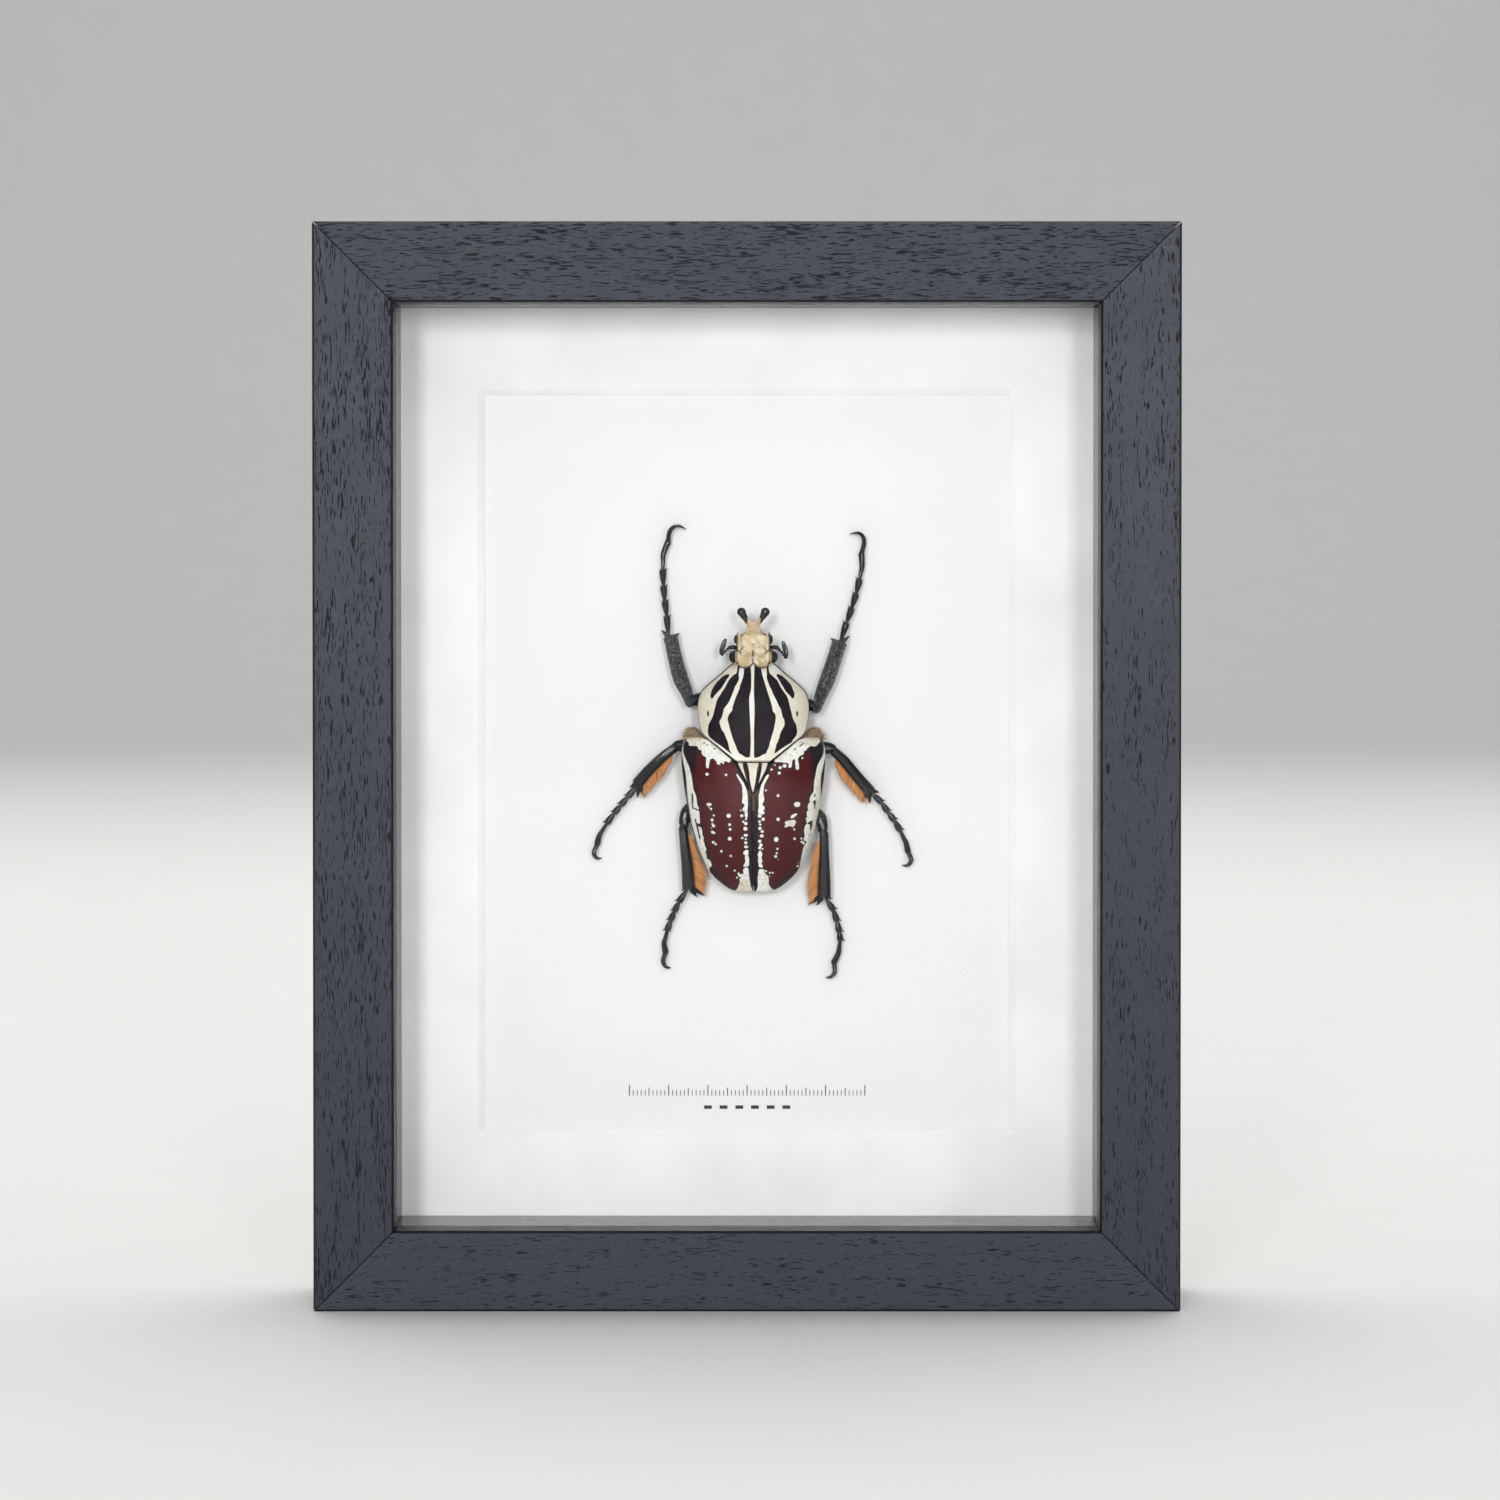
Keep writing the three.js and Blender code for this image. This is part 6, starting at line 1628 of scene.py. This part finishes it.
# One operator for each piece or group of like pieces
class BEETLE_OT_frame_finishes(bpy.types.Operator):
    """Gives the box frame, its card, mat, pane and fittings their finishes"""

    bl_idname = "beetle.frame_finishes"
    bl_label = "Frame finishes"

    def execute(self, context):
        looks = context.scene.frame_looks
        for name, upright, share in RAIL_PORES:
            repaint(black_wood(f"black_wood_{name}", looks, upright, share), f"rail_{name}")
        repaint(spacer_wood(), *(f"spacer_{s}" for s in ("bottom", "top", "left", "right")))
        repaint(clear_pane(), "glass")
        paper = tuple(looks.paper_colour)
        shade = tuple(c * 0.985 for c in paper)
        # The mat is a whiter board than the card, and is painted brighter still to lift the shade
        # that the rails cast on its margins
        mat_painted_brighter = tuple(min(0.96, c * 1.1) for c in paper)
        repaint(white_paper("mat_paper", mat_painted_brighter, paper), "mat_board")
        repaint(white_paper("card_paper", paper, shade, marks=True), "backing_card")
        repaint(brown_board(), "back_board")
        tabs = [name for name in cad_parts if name.startswith("tab_")]
        repaint(fitting_steel(), "sawtooth_hanger", "hanger_rivet_1", "hanger_rivet_2", *tabs)
        return {"FINISHED"}


class BEETLE_OT_wing_covers(bpy.types.Operator):
    """Builds the two wing covers with their white markings"""

    bl_idname = "beetle.wing_covers"
    bl_label = "Wing covers"

    def execute(self, context):
        material = wing_finish(context.scene.beetle_looks)
        for side, node in ((-1, "wing_cover_left"), (1, "wing_cover_right")):
            piece = wing_cover(side)
            mark_wing(piece, side)
            finish(piece, material, "wing_cover", node)
        return {"FINISHED"}


class BEETLE_OT_pronotum(bpy.types.Operator):
    """Builds the striped pronotum and the scutellum behind it"""

    bl_idname = "beetle.pronotum"
    bl_label = "Pronotum and scutellum"

    def execute(self, context):
        material = striped_finish(context.scene.beetle_looks)
        shield = pronotum_shield()
        mark_pronotum(shield)
        finish(shield, material, "pronotum", "pronotum")
        plate = scutellum_plate()
        mark_scutellum(plate)
        finish(plate, material, "scutellum", "scutellum")
        return {"FINISHED"}


class BEETLE_OT_head(bpy.types.Operator):
    """Builds the face plate with its forked horn, the eyes and the antennae"""

    bl_idname = "beetle.head"
    bl_label = "Head"

    def execute(self, context):
        skin = head_skin()
        mark_head(skin)
        finish(skin, head_finish(context.scene.beetle_looks), "head", "head")
        shiny = black_chitin("eye_lens", 9.0, 0.03)
        for side in (-1, 1):
            finish(eye(side), shiny, "head")
        limb = black_chitin("antenna_chitin", 5.0, 0.08)
        finish(antenna(-1), limb, "black_chitin", "antenna_left")
        finish(antenna(1), limb, "black_chitin", "antenna_right")
        return {"FINISHED"}


class BEETLE_OT_legs(bpy.types.Operator):
    """Builds the six legs with their spurs, tarsi and claws"""

    bl_idname = "beetle.legs"
    bl_label = "Legs"

    def execute(self, context):
        smooth = black_chitin("leg_chitin", 2.2, 0.12)
        dented = black_chitin("dented_chitin", 2.2, 0.5, 3.2, 0.9)
        for leg in LEGS:
            shank = smooth if "fringe" in leg else dented
            finish(femur(leg), smooth, "black_chitin", f"{leg['name']}_femur")
            finish(tibia(leg), shank, "black_chitin", f"{leg['name']}_tibia")
            finish(tarsus(leg), smooth, "black_chitin", f"{leg['name']}_tarsus")
        return {"FINISHED"}


class BEETLE_OT_hair(bpy.types.Operator):
    """Grows the fringes of the legs and the fur at the shoulders"""

    bl_idname = "beetle.hair"
    bl_label = "Hair"

    def execute(self, context):
        looks = context.scene.beetle_looks
        orange = tuple(looks.hair_colour)
        root = tuple(c * 0.12 for c in orange)
        tip = tuple(min(1, c * 1.1 + 0.14) for c in orange)
        material = hair_finish("orange_fringe", root, orange, tip)
        for leg in LEGS:
            if "fringe" in leg:
                piece = fringe(leg, looks.fringe_hairs, looks.fringe_length)
                finish(piece, material, "orange_hair", f"{leg['name']}_fringe")
        gold = tuple(looks.fur_colour)
        root = tuple(c * 0.1 for c in gold)
        tip = tuple(min(1, c * 1.7 + 0.06) for c in gold)
        material = hair_finish("golden_fur", root, gold, tip)
        finish(shoulder_fur(looks.fur_hairs), material, "orange_hair")
        return {"FINISHED"}


class BEETLE_OT_underbody(bpy.types.Operator):
    """Builds the thorax and abdomen under the wing covers"""

    bl_idname = "beetle.underbody"
    bl_label = "Underbody"

    def execute(self, context):
        finish(body_core(), belly_finish(), "underbody", "underbody")
        return {"FINISHED"}


def aimed_area(name, place, target, size, power, colour):
    deselect()
    bpy.ops.object.light_add(type="AREA", location=place)
    lamp = bpy.context.active_object
    lamp.name = lamp.data.name = name
    lamp.data.shape = "RECTANGLE"
    lamp.data.size, lamp.data.size_y = size
    lamp.data.energy = power
    lamp.data.color = colour
    away = np.subtract(place, target)
    across = math.hypot(away[0], away[1])
    lamp.rotation_euler = (math.atan2(across, away[2]), 0, math.atan2(away[0], -away[1]))
    return lamp


class BEETLE_OT_stage(bpy.types.Operator):
    """Sets the pale floor, the soft lights and the camera"""

    bl_idname = "beetle.stage"
    bl_label = "Stage, light and camera"

    def execute(self, context):
        looks = context.scene.stage_looks
        self.floor(looks)
        for name, place, target, size, colour in LIGHTS:
            power = getattr(looks, name.replace("light", "power"))
            aimed_area(name, place, target, size, power, colour)
        world = bpy.data.worlds.new("pale_surround")
        world.use_nodes = True
        sky = world.node_tree.nodes["Background"]
        sky.inputs["Color"].default_value = (0.98, 0.985, 1.0, 1)
        sky.inputs["Strength"].default_value = looks.surround
        context.scene.world = world
        context.scene.view_settings.view_transform = "Standard"
        bpy.ops.object.camera_add(location=CAMERA_PLACE)
        camera = bpy.context.active_object
        camera.name = camera.data.name = "photo_camera"
        camera.rotation_euler = (math.pi / 2 + CAMERA_PITCH, 0, CAMERA_YAW)
        camera.data.sensor_fit = "HORIZONTAL"
        camera.data.sensor_width = SENSOR_WIDTH
        camera.data.lens = looks.lens
        camera.data.shift_y = CAMERA_SHIFT
        context.scene.camera = camera
        return {"FINISHED"}

    def floor(self, looks):
        """A floor that sweeps up far behind the object, with no line between them."""
        piece = fresh_grid("studio_sweep", 2, 60)
        places = places_of(piece)
        way = (places[:, 1] + 1) / 2 * 14
        flat, radius = 9.0, 1.5
        turn = np.clip((way - flat) / radius, 0, math.pi / 2)
        beyond = np.maximum(way - flat - radius * math.pi / 2, 0)
        y = -5 + np.minimum(way, flat) + radius * np.sin(turn)
        z = radius * (1 - np.cos(turn)) + beyond
        move_to(piece, np.column_stack([places[:, 0] * 8, y, z]))
        select_only(piece)
        bpy.ops.object.shade_smooth()
        material, tree, shader = new_material("pale_floor", Roughness=0.7)
        grain = noise(tree, millimetres(tree), 0.02, 3.0)
        pale = opaque(looks.floor_colour)
        colour = mix(tree, grain, pale, (*(c * 0.97 for c in looks.floor_colour), 1))
        set_socket(tree, shader, "Base Color", colour)
        piece.data.materials.append(material)


OPERATORS = (
    BEETLE_OT_frame_finishes, BEETLE_OT_underbody, BEETLE_OT_wing_covers, BEETLE_OT_pronotum,
    BEETLE_OT_head, BEETLE_OT_legs, BEETLE_OT_hair, BEETLE_OT_stage,
)


class BEETLE_PT_pieces(bpy.types.Panel):
    """Lists the pieces of the framed beetle with their sizes and colours"""

    bl_idname = "BEETLE_PT_pieces"
    bl_label = "Framed beetle"
    bl_space_type = "VIEW_3D"
    bl_region_type = "UI"
    bl_category = "Beetle"

    def draw(self, context):
        for looks in (
            context.scene.frame_looks, context.scene.beetle_looks, context.scene.stage_looks
        ):
            box = self.layout.box()
            for name in looks.__annotations__:
                box.prop(looks, name)
        for operator in OPERATORS:
            self.layout.operator(operator.bl_idname)


CLASSES = (FrameLooks, BeetleLooks, StageLooks, *OPERATORS, BEETLE_PT_pieces)


def register():
    for kind in CLASSES:
        bpy.utils.register_class(kind)
    bpy.types.Scene.frame_looks = bpy.props.PointerProperty(type=FrameLooks)
    bpy.types.Scene.beetle_looks = bpy.props.PointerProperty(type=BeetleLooks)
    bpy.types.Scene.stage_looks = bpy.props.PointerProperty(type=StageLooks)


def unregister():
    del bpy.types.Scene.stage_looks
    del bpy.types.Scene.beetle_looks
    del bpy.types.Scene.frame_looks
    for kind in reversed(CLASSES):
        bpy.utils.unregister_class(kind)


def main():
    register()
    for operator in OPERATORS:
        getattr(bpy.ops.beetle, operator.bl_idname.split(".")[1])()


if __name__ == "__main__":
    main()
